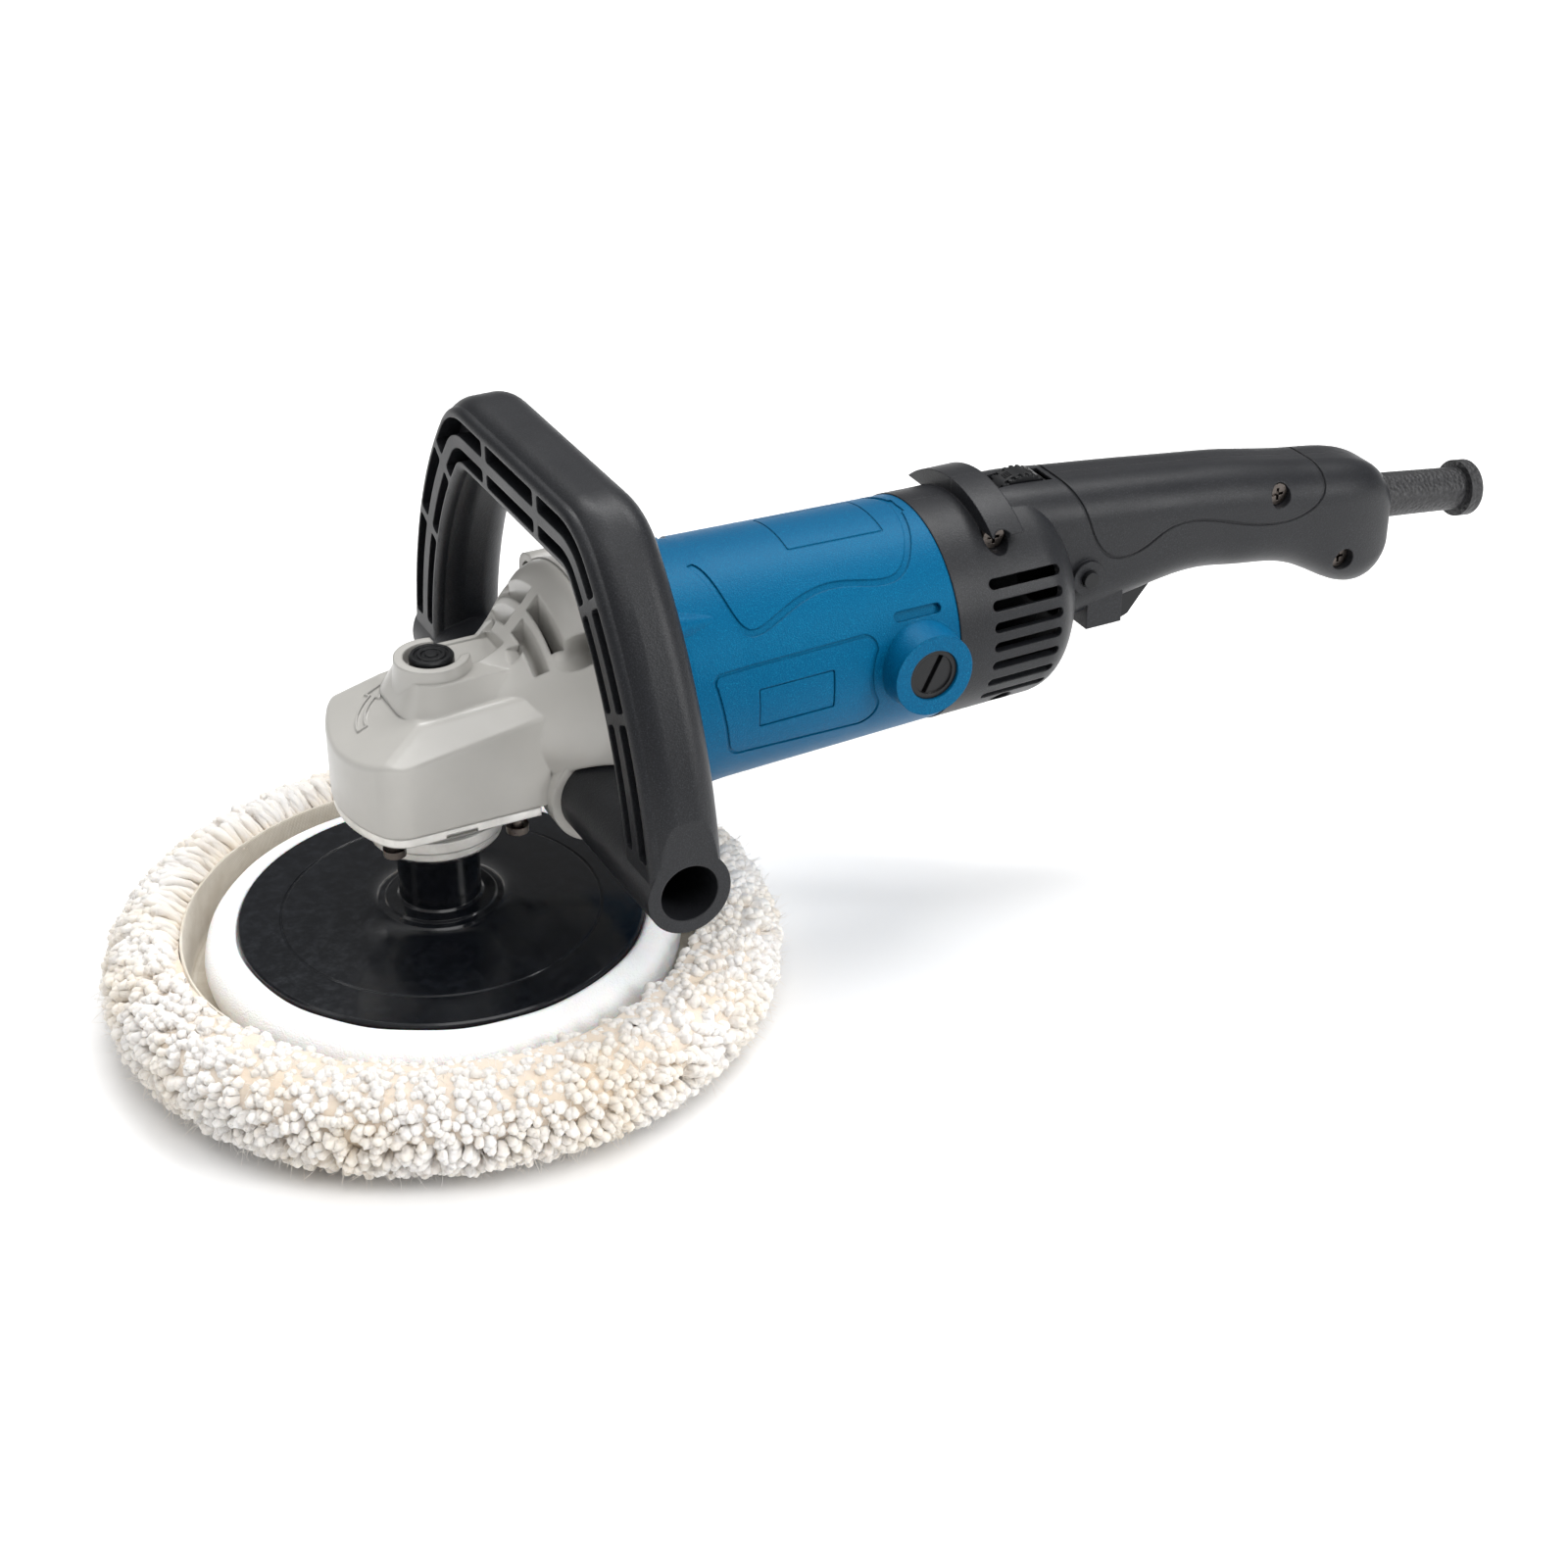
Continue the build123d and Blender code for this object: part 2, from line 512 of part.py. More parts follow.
with BuildPart() as armature_core:
    with BuildSketch(yz(90)):
        Circle(21)
        Circle(5, mode=Mode.SUBTRACT)
        with PolarLocations(16.2, 12):
            SlotOverall(6.4, 4.4, mode=Mode.SUBTRACT)
        with PolarLocations(20.4, 12):
            Rectangle(3.6, 1.4, mode=Mode.SUBTRACT)
    extrude(amount=42)
save(armature_core, "armature_core")

with BuildPart() as armature_windings:
    spun_x([(83.5, 6.5), (85.5, 5.2), (90, 5.2), (90, 18.6), (88, 19.3), (85.5, 18.2), (83.6, 14)])
    spun_x([(132, 5.2), (149, 5.2), (152, 8), (148, 13), (142, 17.5), (137, 19.3), (132, 18.6)])
    with BuildSketch(yz(90)):
        with PolarLocations(16.2, 12):
            SlotOverall(6.0, 4.0)
    extrude(amount=42)
    with BuildSketch(yz(132)):
        with PolarLocations(19.6, 24):
            Rectangle(3, 0.9)
    extrude(amount=20, mode=Mode.SUBTRACT)
save(armature_windings, "armature_windings")

with BuildPart() as commutator:
    spun_x([(154, 5.0), (154, 14.2), (157, 14.2), (157, 13), (173.6, 13), (174.2, 12.4), (174.2, 5.0)])
    with BuildSketch(yz(157.5)):
        with PolarLocations(13, 24):
            Rectangle(2.2, 0.6)
    extrude(amount=18, mode=Mode.SUBTRACT)
save(commutator, "commutator")

with BuildPart() as cooling_fan:
    spun_x([(71, 5.0), (71, 9), (73, 12), (77.5, 33.2), (79, 33.2), (79, 12), (80.5, 9), (80.5, 5.0)])
    for k in range(15):
        a = radians(24 * k)
        blade = Plane(origin=(71.6, 23.5 * cos(a), MZ + 23.5 * sin(a)),
                      x_dir=(0, cos(a + 0.5), sin(a + 0.5)), z_dir=(1, 0, 0))
        with BuildSketch(blade):
            Rectangle(17, 1.4)
        extrude(amount=6.6)
    with BuildSketch(yz(60)):
        Circle(60)
        Circle(33.2, mode=Mode.SUBTRACT)
    extrude(amount=30, mode=Mode.SUBTRACT)
save(cooling_fan, "cooling_fan")

# ---------------------------------------------------------------- gear cover between gears and fan
with BuildPart() as gear_cover:
    spun_x([(57, 0), (57, 38.2), (63, 38.2), (63, 36), (60.6, 34), (60.6, 22), (63, 18), (69.3, 16.2), (69.3, 0)])
    rod(55.2, 58, 8.2, z=IZ)
    rod(55, 60.4, 6.2, z=IZ, mode=Mode.SUBTRACT)
    rod(60.2, 61.0, 4.6, z=IZ, mode=Mode.SUBTRACT)
    rod(61.2, 70, 13, mode=Mode.SUBTRACT)
    rod(55, 62, 6.2, mode=Mode.SUBTRACT)
    with BuildSketch(yz(55)):                          # air passages out to the neck
        for a in (20, 55, 90, 125, 160):
            with PolarLocations(29, 1, start_angle=a):
                RectangleRounded(9, 13, 3)
    extrude(amount=8, mode=Mode.SUBTRACT)
save(gear_cover, "gear_cover")

with BuildPart() as gear_housing_screws:
    for y, z in lobe_spots:
        add(pan_screw(facing(52.5, y, MZ + z, (-1, 0, 0)), 4.6, 2.65, 3.2, 30))
save(gear_housing_screws, "gear_housing_screws")

with BuildPart() as spindle_lock_spring:
    add(coil_spring((3, 0, 121.1), 6.1, 0.45, 5.0, 3.5))
save(spindle_lock_spring, "spindle_lock_spring")

# ---------------------------------------------------------------- motor housing
def body_r(x):
    return BODY_R0 + (BODY_R1 - BODY_R0) * (x - 98) / (REAR_X - 98)

def turned_side(angle, s):
    """Sketch plane facing out of the motor housing at an angle above its side, s = -1 left or 1 right."""
    a = radians(angle)
    return Plane(origin=(0, 0, MZ), x_dir=(1, 0, 0), z_dir=(0, s * cos(a), sin(a)))

def skin(r_in, r_out=52.0):
    """Sleeve following the motor housing: r_in below its surface out to r_out."""
    with BuildSketch(Plane.XZ) as band:
        with BuildLine():
            Polyline((60, MZ + 44.2 - r_in), (80, MZ + 44.0 - r_in), (98, MZ + BODY_R0 - r_in),
                     (REAR_X + 2, MZ + BODY_R1 - r_in), (REAR_X + 2, MZ + r_out), (60, MZ + r_out), close=True)
        make_face()
    return revolve(band.sketch, axis=MOTOR_AXIS, mode=Mode.PRIVATE)

def engraved(sketch, depth, reach=60):
    """Groove of even depth under the curved skin wherever a sketch faces it."""
    return extrude(sketch, amount=reach, mode=Mode.PRIVATE) & skin(depth)

with BuildPart() as motor_housing:
    spun_x([(66, 36.5), (66, 44.2), (80, 44.0), (98, BODY_R0), (REAR_X, BODY_R1), (REAR_X, 36.5)])
    with BuildSketch(yz(66)):
        with Locations(*lobe_spots):
            Circle(LOBE_R)
    extrude(amount=25, taper=14)
    for s in (-1, 1):                                  # brush bosses
        with BuildSketch(side(s * 36)) as boss:
            with Locations((BRUSH_X, MZ)):
                Circle(15.7)
        extrude(boss.sketch, amount=-s * 14.2, taper=3)
    rod(60, 200, 36.5, mode=Mode.SUBTRACT)
    with BuildSketch(yz(175.5)):                       # rear wall and bearing seat
        Circle(36.5)
        with PolarLocations(25.5, 6, start_angle=30):
            RectangleRounded(14, 17, 3.5, mode=Mode.SUBTRACT)
    extrude(amount=2.5)
    with BuildSketch(yz(175.5)):
        Circle(14)
    extrude(amount=10)
    rod(177.8, 186, 11, mode=Mode.SUBTRACT)
    rod(170, 186, 6.5, mode=Mode.SUBTRACT)
    for y, z in lobe_spots:
        rod(60, 84.5, 2.65, z=MZ + z, y=y, mode=Mode.SUBTRACT)
    for s in (-1, 1):
        across(s * 43.4, s * 52, 9.3, BRUSH_X, MZ, mode=Mode.SUBTRACT)
        with BuildSketch(side(s * 30)) as well:
            with Locations((BRUSH_X, MZ)):
                Rectangle(9, 11)
        extrude(well.sketch, amount=-s * 20, mode=Mode.SUBTRACT)
        with BuildSketch(turned_side(26, s)) as slot:  # slot above the boss
            with Locations((165.4, 0)):
                SlotOverall(18.7, 3.6)
        add(engraved(slot.sketch, 1.9), mode=Mode.SUBTRACT)
        with BuildSketch(turned_side(0, s)) as panel:  # outlined panel and its plate recess
            with BuildLine():
                v0, v1, v2, v3 = 14.6, 15.0, -19.6, -17.3
                Line((88, v0), (143, v1))
                ThreePointArc((143, v1), (146.8, 13.2), (148, 9.5))
                ThreePointArc((148, 9.5), (145.6, 0), (148, -9.5))
                ThreePointArc((148, -9.5), (147.6, -16.5), (143, v2))
                Line((143, v2), (96, v3))
                ThreePointArc((96, v3), (92.4, -15.4), (90.6, -11.5))
                Line((90.6, -11.5), (86.4, 10.5))
                ThreePointArc((86.4, 10.5), (86.4, 13.4), (88, v0))
            trace(line_width=1.1)
        outline = panel.sketch if s < 0 else panel.sketch.mirror(Plane.XY.offset(MZ))
        add(engraved(panel.sketch if s < 0 else outline, 0.55), mode=Mode.SUBTRACT)
        with BuildSketch(turned_side(0, s)) as plate:
            with Locations((116.5, -s * -0.6)):
                RectangleRounded(29, 14.4, 0.8)
        add(engraved(plate.sketch, 0.8), mode=Mode.SUBTRACT)
        t = -s                                         # wide swept groove over the top
        curve = ((91.5, t * 11), (96.5, t * -6), (102.5, t * -18), (112, t * -16), (124, t * -11),
                 (137.5, t * -8.6), (152, t * -10.8), (162, t * -10.2), (169.5, t * -2),
                 (174.2, t * 10), (176.5, t * 24.5))
        add(engraved(ribbon(turned_side(60, s), curve, 2.4), 0.6), mode=Mode.SUBTRACT)
    with BuildSketch(turned_side(90, -1)) as top_plate:
        with Locations((146.2, 0)):
            RectangleRounded(37.5, 26.5, 1.0)
            RectangleRounded(36.3, 25.3, 0.6, mode=Mode.SUBTRACT)
    add(engraved(top_plate.sketch, 0.35), mode=Mode.SUBTRACT)
save(motor_housing, "motor_housing")

with BuildPart() as nameplate:
    with BuildSketch(turned_side(0, -1)) as plate:
        with Locations((116.5, -0.6)):
            RectangleRounded(28.2, 13.6, 0.6)
    add((extrude(plate.sketch, amount=60, mode=Mode.PRIVATE) & skin(0.8)) - skin(0.3))
save(nameplate, "nameplate")

# ---------------------------------------------------------------- stator, coils, brush gear
with BuildPart() as stator_core:
    with BuildSketch(yz(90)):
        Circle(36.5)
        Circle(30.5, mode=Mode.SUBTRACT)
    extrude(amount=44)
    with BuildSketch(yz(90)):
        for a in (90, 270):
            with Locations(Location((0, 0, 0), (0, 0, a))):
                Rectangle(31.5, 26, align=(Align.MIN, Align.CENTER))
        with BuildSketch(mode=Mode.PRIVATE) as shoes:
            Circle(26.5)
            with Locations((0, 0)):
                Rectangle(60, 22, mode=Mode.SUBTRACT)
        add(shoes.sketch)
        Circle(21.7, mode=Mode.SUBTRACT)
    extrude(amount=44)
save(stator_core, "stator_core")

with BuildPart() as field_coils:
    for x0, x1 in ((84.5, 89.9), (134.1, 140)):
        with BuildSketch(yz(x0)):
            Circle(30.3)
            Circle(23.2, mode=Mode.SUBTRACT)
            Rectangle(80, 19, mode=Mode.SUBTRACT)
        extrude(amount=x1 - x0)
    with BuildSketch(yz(84.5)):
        Circle(30.3)
        Circle(26.7, mode=Mode.SUBTRACT)
        Rectangle(80, 22.4, mode=Mode.SUBTRACT)
        Rectangle(26.4, 80, mode=Mode.SUBTRACT)
    extrude(amount=55.5)
save(field_coils, "field_coils")

with BuildPart() as brush_holders:
    for s in (-1, 1):
        with BuildSketch(side(s * 14.8)) as tube:
            with Locations((BRUSH_X, MZ)):
                Rectangle(9, 11)
                Rectangle(6.4, 8.4, mode=Mode.SUBTRACT)
        extrude(tube.sketch, amount=-s * 28.0)
save(brush_holders, "brush_holders")
with BuildPart() as carbon_brushes:
    for s in (-1, 1):
        with BuildSketch(side(s * 13.2)) as block:
            with Locations((BRUSH_X, MZ)):
                Rectangle(6.2, 8.2)
        extrude(block.sketch, amount=-s * 14)
save(carbon_brushes, "carbon_brushes")
with BuildPart() as brush_springs:
    for s in (-1, 1):
        add(coil_spring((BRUSH_X, s * 27.8, MZ), 2.6, 0.3, 14, 8, direction=(0, s, 0)))
save(brush_springs, "brush_springs")

for s, name in ((-1, "brush_cap_left"), (1, "brush_cap_right")):
    with BuildPart() as brush_cap:
        across(s * 43.4, s * 49.2, 9.2, BRUSH_X, MZ)
        with BuildSketch(side(s * 49.2)) as dish:
            with Locations((BRUSH_X, MZ)):
                Circle(7.4)
        extrude(dish.sketch, amount=s * 0.7, mode=Mode.SUBTRACT)
        with BuildSketch(side(s * 49.2)) as slit:
            with Locations(Location((BRUSH_X, MZ, 0), (0, 0, 62))):
                Rectangle(14.6, 1.9)
        extrude(slit.sketch, amount=s * 2.6, mode=Mode.SUBTRACT)
    save(brush_cap, name)

# ---------------------------------------------------------------- handle shells, split at y = 0
#           x, half width, bottom z, top z, corner radius
STATIONS = ((210, 19.5, 84, 149.4, 14), (230, 19.5, 90, 149.6, 14), (246, 19.5, 94, 147.8, 14.5),
            (262, 19.3, 96.5, 146.0, 14.5), (284, 19.0, 99.8, 143.4, 14.5), (308, 18.8, 99.4, 140.4, 14.5),
            (334, 18.8, 95.2, 136.0, 14.5), (354, 18.8, 87.0, 132.4, 14), (369, 18.4, 79.4, 129.8, 13),
            (380, 16.6, 79.2, 126.0, 12), (387, 13.6, 84.8, 119.5, 10.5))

def handle_form(inset):
    """Rear shroud and grip as one closed body, its skin moved in by an inset."""
    i = inset
    with BuildSketch(Plane.XZ) as bell:
        with BuildLine():
            Polyline((REAR_X - (1 if i else 0), MZ), (REAR_X - (1 if i else 0), MZ + 41.0 - i),
                     (219, MZ + 40.4 - i))
            Spline((219, MZ + 40.4 - i), (231 - i * 0.5, MZ + 34 - i * 0.8), (239 - i, MZ + 22 - i * 0.4),
                   (242.5 - i, MZ), tangents=((1, -0.05), (0, -1)))
            Line((242.5 - i, MZ), (REAR_X - (1 if i else 0), MZ))
        make_face()
    body = revolve(bell.sketch, axis=MOTOR_AXIS, mode=Mode.PRIVATE)
    rings = []
    for x, w, z0, z1, r in STATIONS:
        if i and x == STATIONS[-1][0]:
            x -= i
        with BuildSketch(Plane(origin=(x, 0, (z0 + z1) / 2), x_dir=(0, 1, 0), z_dir=(1, 0, 0))) as ring:
            RectangleRounded(2 * (w - i), z1 - z0 - 2 * i, r - i)
        rings.append(ring.sketch)
    return body + loft(rings, mode=Mode.PRIVATE)

form_outer = handle_form(0)
form_inner = handle_form(3)
form_skin = form_outer - handle_form(0.55)
shell_screws_at = ((203, 141.4, 21.0), (331, 127, 13.0), (363, 94, 12.5), (206, 78, 13.0))

def seam_groove():
    """Curved grip line on the side of the handle, cut from the side through the skin only."""
    curve = ((238.5, 150.5), (242, 146), (247, 132), (257, 119.5), (270, 120), (280, 125), (293, 126),
             (311, 121), (329, 116.8), (343, 118), (351.5, 125), (352.5, 133), (348.5, 140))
    band = extrude(ribbon(side(0), curve, 1.0), amount=40, both=True, mode=Mode.PRIVATE)
    return band & form_skin

grip_groove = seam_groove()

with BuildPart() as hoop:                              # raised hoop over the shroud
    with BuildSketch(yz(199)):
        Circle(46.2)
        Circle(38, mode=Mode.SUBTRACT)
        with Locations((0, -60 + 46 * sin(radians(50)))):
            Rectangle(120, 120, mode=Mode.SUBTRACT)
    extrude(amount=12.5)
shell_hull = form_outer + hoop.part

for s, name in ((-1, "handle_shell_left"), (1, "handle_shell_right")):
    with BuildPart() as handle_shell:
        add(shell_hull)
        across(-21.4, 21.4, 6.6, 245.5, 114.4)         # collar of the lock-on button
        brick(248, 263, -17.5, 17.5, 91.5, 104)        # cheeks beside the trigger
        add(form_inner, mode=Mode.SUBTRACT)
        with BuildPart(mode=Mode.PRIVATE) as pillars:
            for x, z, d in shell_screws_at:
                across(-d - 4, d + 4, 7.2, x, z)
            add(shell_hull, mode=Mode.INTERSECT)
        add(pillars.part)
        brick(362, 378, -16, 16, 99.5, 101.5)          # bridge under the cord clamp
        brick(376, 378, -15, 15, 88, 121)          # wall in front of the guard flange
        for x, z, d in shell_screws_at:
            across(-60, -d, 4.5, x, z, mode=Mode.SUBTRACT)
            across(-d - 1, d, 1.9, x, z, mode=Mode.SUBTRACT)
        across(-23, -10, 3.16, 245.5, 114.4, mode=Mode.SUBTRACT)
        across(-17.4, -3, 5.2, 245.5, 114.4, mode=Mode.SUBTRACT)
        brick(256, 286.5, -8.6, 8.6, 80, 115, mode=Mode.SUBTRACT)        # trigger opening
        brick(215, 238, -5.6, 5.6, 138, 160, mode=Mode.SUBTRACT)     # dial window
        across(-5.6, 5.6, DIAL_R + 1.2, DIAL_X, DIAL_Z, mode=Mode.SUBTRACT)
        with BuildSketch(Plane(origin=(376, 0, 109.2), z_dir=(cos(radians(7.5)), 0, -sin(radians(7.5))))):
            Circle(9.1)
        extrude(amount=14, mode=Mode.SUBTRACT)
        brick(378, 385.1, -11.6, 11.6, 96.8, 120.6, mode=Mode.SUBTRACT)
        rod(178, 187, 14.2, mode=Mode.SUBTRACT)
        for side_sign in (-1, 1):                      # seven air inlets on each side
            for k, a in enumerate((30.5, 19.5, 8.5, -2.0, -13.0, -25.0, -37.0)):
                b = radians(a)
                spot = Plane(origin=(209.5 - 0.25 * k, side_sign * 30 * cos(b), MZ + 30 * sin(b)),
                             x_dir=(1, 0, 0), z_dir=(0, side_sign * cos(b), sin(b)))
                with BuildSketch(spot):
                    SlotOverall(29.5 - 0.5 * k, 3.9)
                extrude(amount=30, mode=Mode.SUBTRACT)
        across(-11.6, 11.6, 2.0, 281.2, 105, mode=Mode.SUBTRACT)
        add(grip_groove, mode=Mode.SUBTRACT)
        half = Box(300, 60, 160, align=(Align.MIN, Align.MIN, Align.MIN), mode=Mode.PRIVATE)
        add(half.moved(Location((150, 0.0 if s > 0 else -60.0, 50))), mode=Mode.INTERSECT)
    save(handle_shell, name)

with BuildPart() as shell_screws:
    for x, z, d in shell_screws_at:
        add(pan_screw(facing(x, -d, z, (0, -1, 0)), 4.2, 1.9, 2.6, 2 * d - 1))
save(shell_screws, "shell_screws")

# ---------------------------------------------------------------- switch, trigger, lock-on, speed dial
with BuildPart() as switch_body:
    brick(262, 304, -9.5, 9.5, 116.5, 137)
    brick(300, 306, -7.5, 7.5, 119, 134)
    brick(264, 272, -3, 3, 114.2, 116.5)
save(switch_body, "switch_body")

with BuildPart() as trigger:
    with BuildSketch(side(-7.9)) as lever:
        with BuildLine():
            Polyline((259.8, 110), (259.8, 92.5), (261.5, 89.6))
            ThreePointArc((261.5, 89.6), (266.6, 87.0), (272.6, 88.2))
            Polyline((272.6, 88.2), (277.6, 94.4), (284.2, 102.0))
            ThreePointArc((284.2, 102.0), (285.2, 106.6), (281.5, 108.6))
            Polyline((281.5, 108.6), (274, 110), (259.8, 110))
        make_face()
    extrude(lever.sketch, amount=-15.8)
    brick(262.5, 278, -5.4, 5.4, 92.5, 112, mode=Mode.SUBTRACT)
    across(-9, 9, 2.05, 281.2, 105, mode=Mode.SUBTRACT)
save(trigger, "trigger")

with BuildPart() as trigger_pin:
    across(-11.5, 11.5, 2.0, 281.2, 105)
save(trigger_pin, "trigger_pin")

with BuildPart() as trigger_spring:
    add(coil_spring((267.5, 0, 96.5), 2.2, 0.3, 17.2, 8))
save(trigger_spring, "trigger_spring")

with BuildPart() as lock_on_button:
    across(-23.4, -7.5, 3.1, 245.5, 114.4)
    across(-14.6, -13.0, 4.7, 245.5, 114.4)
save(lock_on_button, "lock_on_button")

with BuildPart() as lock_on_spring:
    add(coil_spring((245.5, -9.2, 114.4), 4.1, 0.3, 5.6, 3.5, direction=(0, 1, 0)))
save(lock_on_spring, "lock_on_spring")

with BuildPart() as speed_dial:
    across(-4.8, 4.8, DIAL_R, DIAL_X, DIAL_Z)
    for k in range(30):                                # knurls along both rims
        a = radians(12 * k)
        for y0, y1 in ((-5, -2.9), (2.9, 5)):
            across(y0, y1, 0.7, DIAL_X + DIAL_R * cos(a), DIAL_Z + DIAL_R * sin(a), mode=Mode.SUBTRACT)
    across(-6, 6, 2.05, DIAL_X, DIAL_Z, mode=Mode.SUBTRACT)
    for k in range(6):                                 # raised bars, one to six, round the rim
        a0 = 90 + 40 * (k - 2.5)
        for j in range(k + 1):
            a = radians(a0 + 3.4 * (j - k / 2))
            spot = Plane(origin=(DIAL_X + 12.6 * cos(a), 0, DIAL_Z + 12.6 * sin(a)), x_dir=(0, 1, 0),
                         z_dir=(cos(a), 0, sin(a)))
            with BuildSketch(spot):
                Rectangle(3.6, 0.36)
            extrude(amount=0.62)
save(speed_dial, "speed_dial")

with BuildPart() as dial_axle:
    across(-9, 9, 2.0, DIAL_X, DIAL_Z)
    brick(DIAL_X - 3, DIAL_X + 3, -9, -6.2, 121.5, DIAL_Z + 3)
    brick(DIAL_X - 3, DIAL_X + 3, 6.2, 9, 121.5, DIAL_Z + 3)
save(dial_axle, "dial_axle")

with BuildPart() as speed_board:
    brick(207, 246, -14, 14, 120, 121.5)
    brick(236, 243, -9, 5, 121.5, 129)
    brick(210, 217, -10, 8, 121.5, 127)
    post(121.5, 133, 4.2, x=214, y=11 - 1.0)
save(speed_board, "speed_board")

# ---------------------------------------------------------------- cord guard and clamp
guard_line = Plane(origin=(379.8, 0, 108.7), x_dir=(0, 1, 0), z_dir=(cos(radians(7.5)), 0, -sin(radians(7.5))))
with BuildPart() as cord_guard:
    with BuildSketch(guard_line):
        Circle(11.2)
    extrude(amount=3.4)
    with BuildSketch(guard_line):
        Circle(8.85)
    with BuildSketch(guard_line.offset(50.5)):
        Circle(8.3)
    loft()
    with BuildSketch(guard_line.offset(50)):
        Circle(11.0)
    extrude(amount=6.2)
    with BuildSketch(guard_line.offset(-1)):
        Circle(4.2)
    extrude(amount=60, mode=Mode.SUBTRACT)
    fillet(cord_guard.edges().group_by(Axis(guard_line.origin, guard_line.z_dir))[-1], radius=1.2)
save(cord_guard, "cord_guard")

with BuildPart() as cord_clamp:
    brick(364.5, 373.5, -14, 14, 101.5, 105.2)
    brick(364.5, 373.5, -14, 14, 113.4, 117)
    across(-15, 15, 20, 369, 109.3, mode=Mode.INTERSECT)
    for y in (-10.4, 10.4):
        post(105.2, 113.4, 2.9, x=369, y=y)
        post(101, 118, 1.7, x=369, y=y, mode=Mode.SUBTRACT)
save(cord_clamp, "cord_clamp")

with BuildPart() as cord_clamp_screws:
    for y in (-10.4, 10.4):
        add(pan_screw(facing(369, y, 117, (0, 0, 1)), 2.9, 1.7, 2.0, 15.4))
save(cord_clamp_screws, "cord_clamp_screws")

# ---------------------------------------------------------------- loop handle
front_face = Plane(origin=(TUBE_X, 0, 0), x_dir=(0, 1, 0), z_dir=(1, 0, 0))
crown_y, BEND_R, SIDE_R = 40.8, 18.0, 161.4            # half the straight crown, corner radius, side radius
bend_angle = radians(49.2)
bend_at = (crown_y, GRIP_Z - BEND_R)
side_at = (crown_y - (SIDE_R - BEND_R) * sin(bend_angle), GRIP_Z - BEND_R - (SIDE_R - BEND_R) * cos(bend_angle))
foot_angle = acos((TUBE_Z + 1 - side_at[1]) / SIDE_R)

def swing(centre, radius, angle):
    return (centre[0] + radius * sin(angle), centre[1] + radius * cos(angle))

def bow_points(shift):
    """Half of the bow moved outward by a shift: crown, corner start, middle and end, side middle and foot."""
    corner, sweep_r = BEND_R + shift, SIDE_R + shift
    return ((0, GRIP_Z + shift), (crown_y, GRIP_Z + shift), swing(bend_at, corner, bend_angle / 2),
            swing(bend_at, corner, bend_angle), swing(side_at, sweep_r, (bend_angle + foot_angle) / 2),
            swing(side_at, sweep_r, foot_angle))

def mirrored(point):
    return (-point[0], point[1])

bow_ribs = ((21.5, GRIP_Z, 0), (61.5, 171.5, -53), (80.0, 141.0, -65))

def bow_pocket(inner, outer, ribs):
    """Band of the front face between two shifts from the centre line, broken by ribs (y, z, angle)."""
    with BuildSketch(front_face.offset(-22)) as band:
        for flip in (lambda p: p, mirrored):
            a, b = [[flip(p) for p in bow_points(k)] for k in (inner, outer)]
            with BuildLine():
                Line(a[0], a[1])
                ThreePointArc(*a[1:4])
                ThreePointArc(*a[3:6])
                Line(a[5], b[5])
                ThreePointArc(b[5], b[4], b[3])
                ThreePointArc(b[3], b[2], b[1])
                Line(b[1], b[0])
                Line(b[0], a[0])
            make_face()
        for y, z, angle in ribs:
            for s in (-1, 1):
                with Locations(Location((s * y, z, 0), (0, 0, s * angle))):
                    Rectangle(3.4, 40, mode=Mode.SUBTRACT)
        with Locations((0, TUBE_Z + 1.4)):
            Rectangle(300, 20.4, mode=Mode.SUBTRACT)
        soft = [flip(p) for k in (inner, outer) for p in bow_points(k)[:4] for flip in (lambda p: p, mirrored)]
        corners = band.vertices().filter_by(lambda v: min(hypot(v.X - y, v.Y - z) for y, z in soft) > 0.5)
        fillet(corners, radius=1.4)
    return band.sketch

with BuildPart() as loop_handle:
    a = bow_points(0)
    with BuildLine(front_face) as centre:
        ThreePointArc(a[5], a[4], a[3])
        ThreePointArc(a[3], a[2], a[1])
        Line(a[1], mirrored(a[1]))
        ThreePointArc(*[mirrored(p) for p in a[1:4]])
        ThreePointArc(*[mirrored(p) for p in a[3:6]])
    with BuildSketch(Plane(origin=centre.line @ 0, x_dir=front_face.z_dir, z_dir=centre.line % 0)):
        RectangleRounded(26, 27, 9.5)
        with Locations((-7.9, 0)):
            RectangleRounded(10.2, 22, 3)
    sweep(path=centre.line)
    for s in (-1, 1):
        across(s * 34.4, s * TUBE_END, TUBE_R, TUBE_X, TUBE_Z)
    for s in (-1, 1):
        across(s * 50, s * (TUBE_END + 8), 9.9, TUBE_X, TUBE_Z, mode=Mode.SUBTRACT)
        across(s * 34, s * 60, 4.2, TUBE_X, TUBE_Z, mode=Mode.SUBTRACT)
        brick(0, 90, min(s * TUBE_END, s * 130), max(s * TUBE_END, s * 130), 60, 160, mode=Mode.SUBTRACT)
    for inner, outer in ((1.8, 7.8), (-7.4, -2.6)):
        add(extrude(bow_pocket(inner, outer, bow_ribs), amount=17, mode=Mode.PRIVATE), mode=Mode.SUBTRACT)
save(loop_handle, "loop_handle")

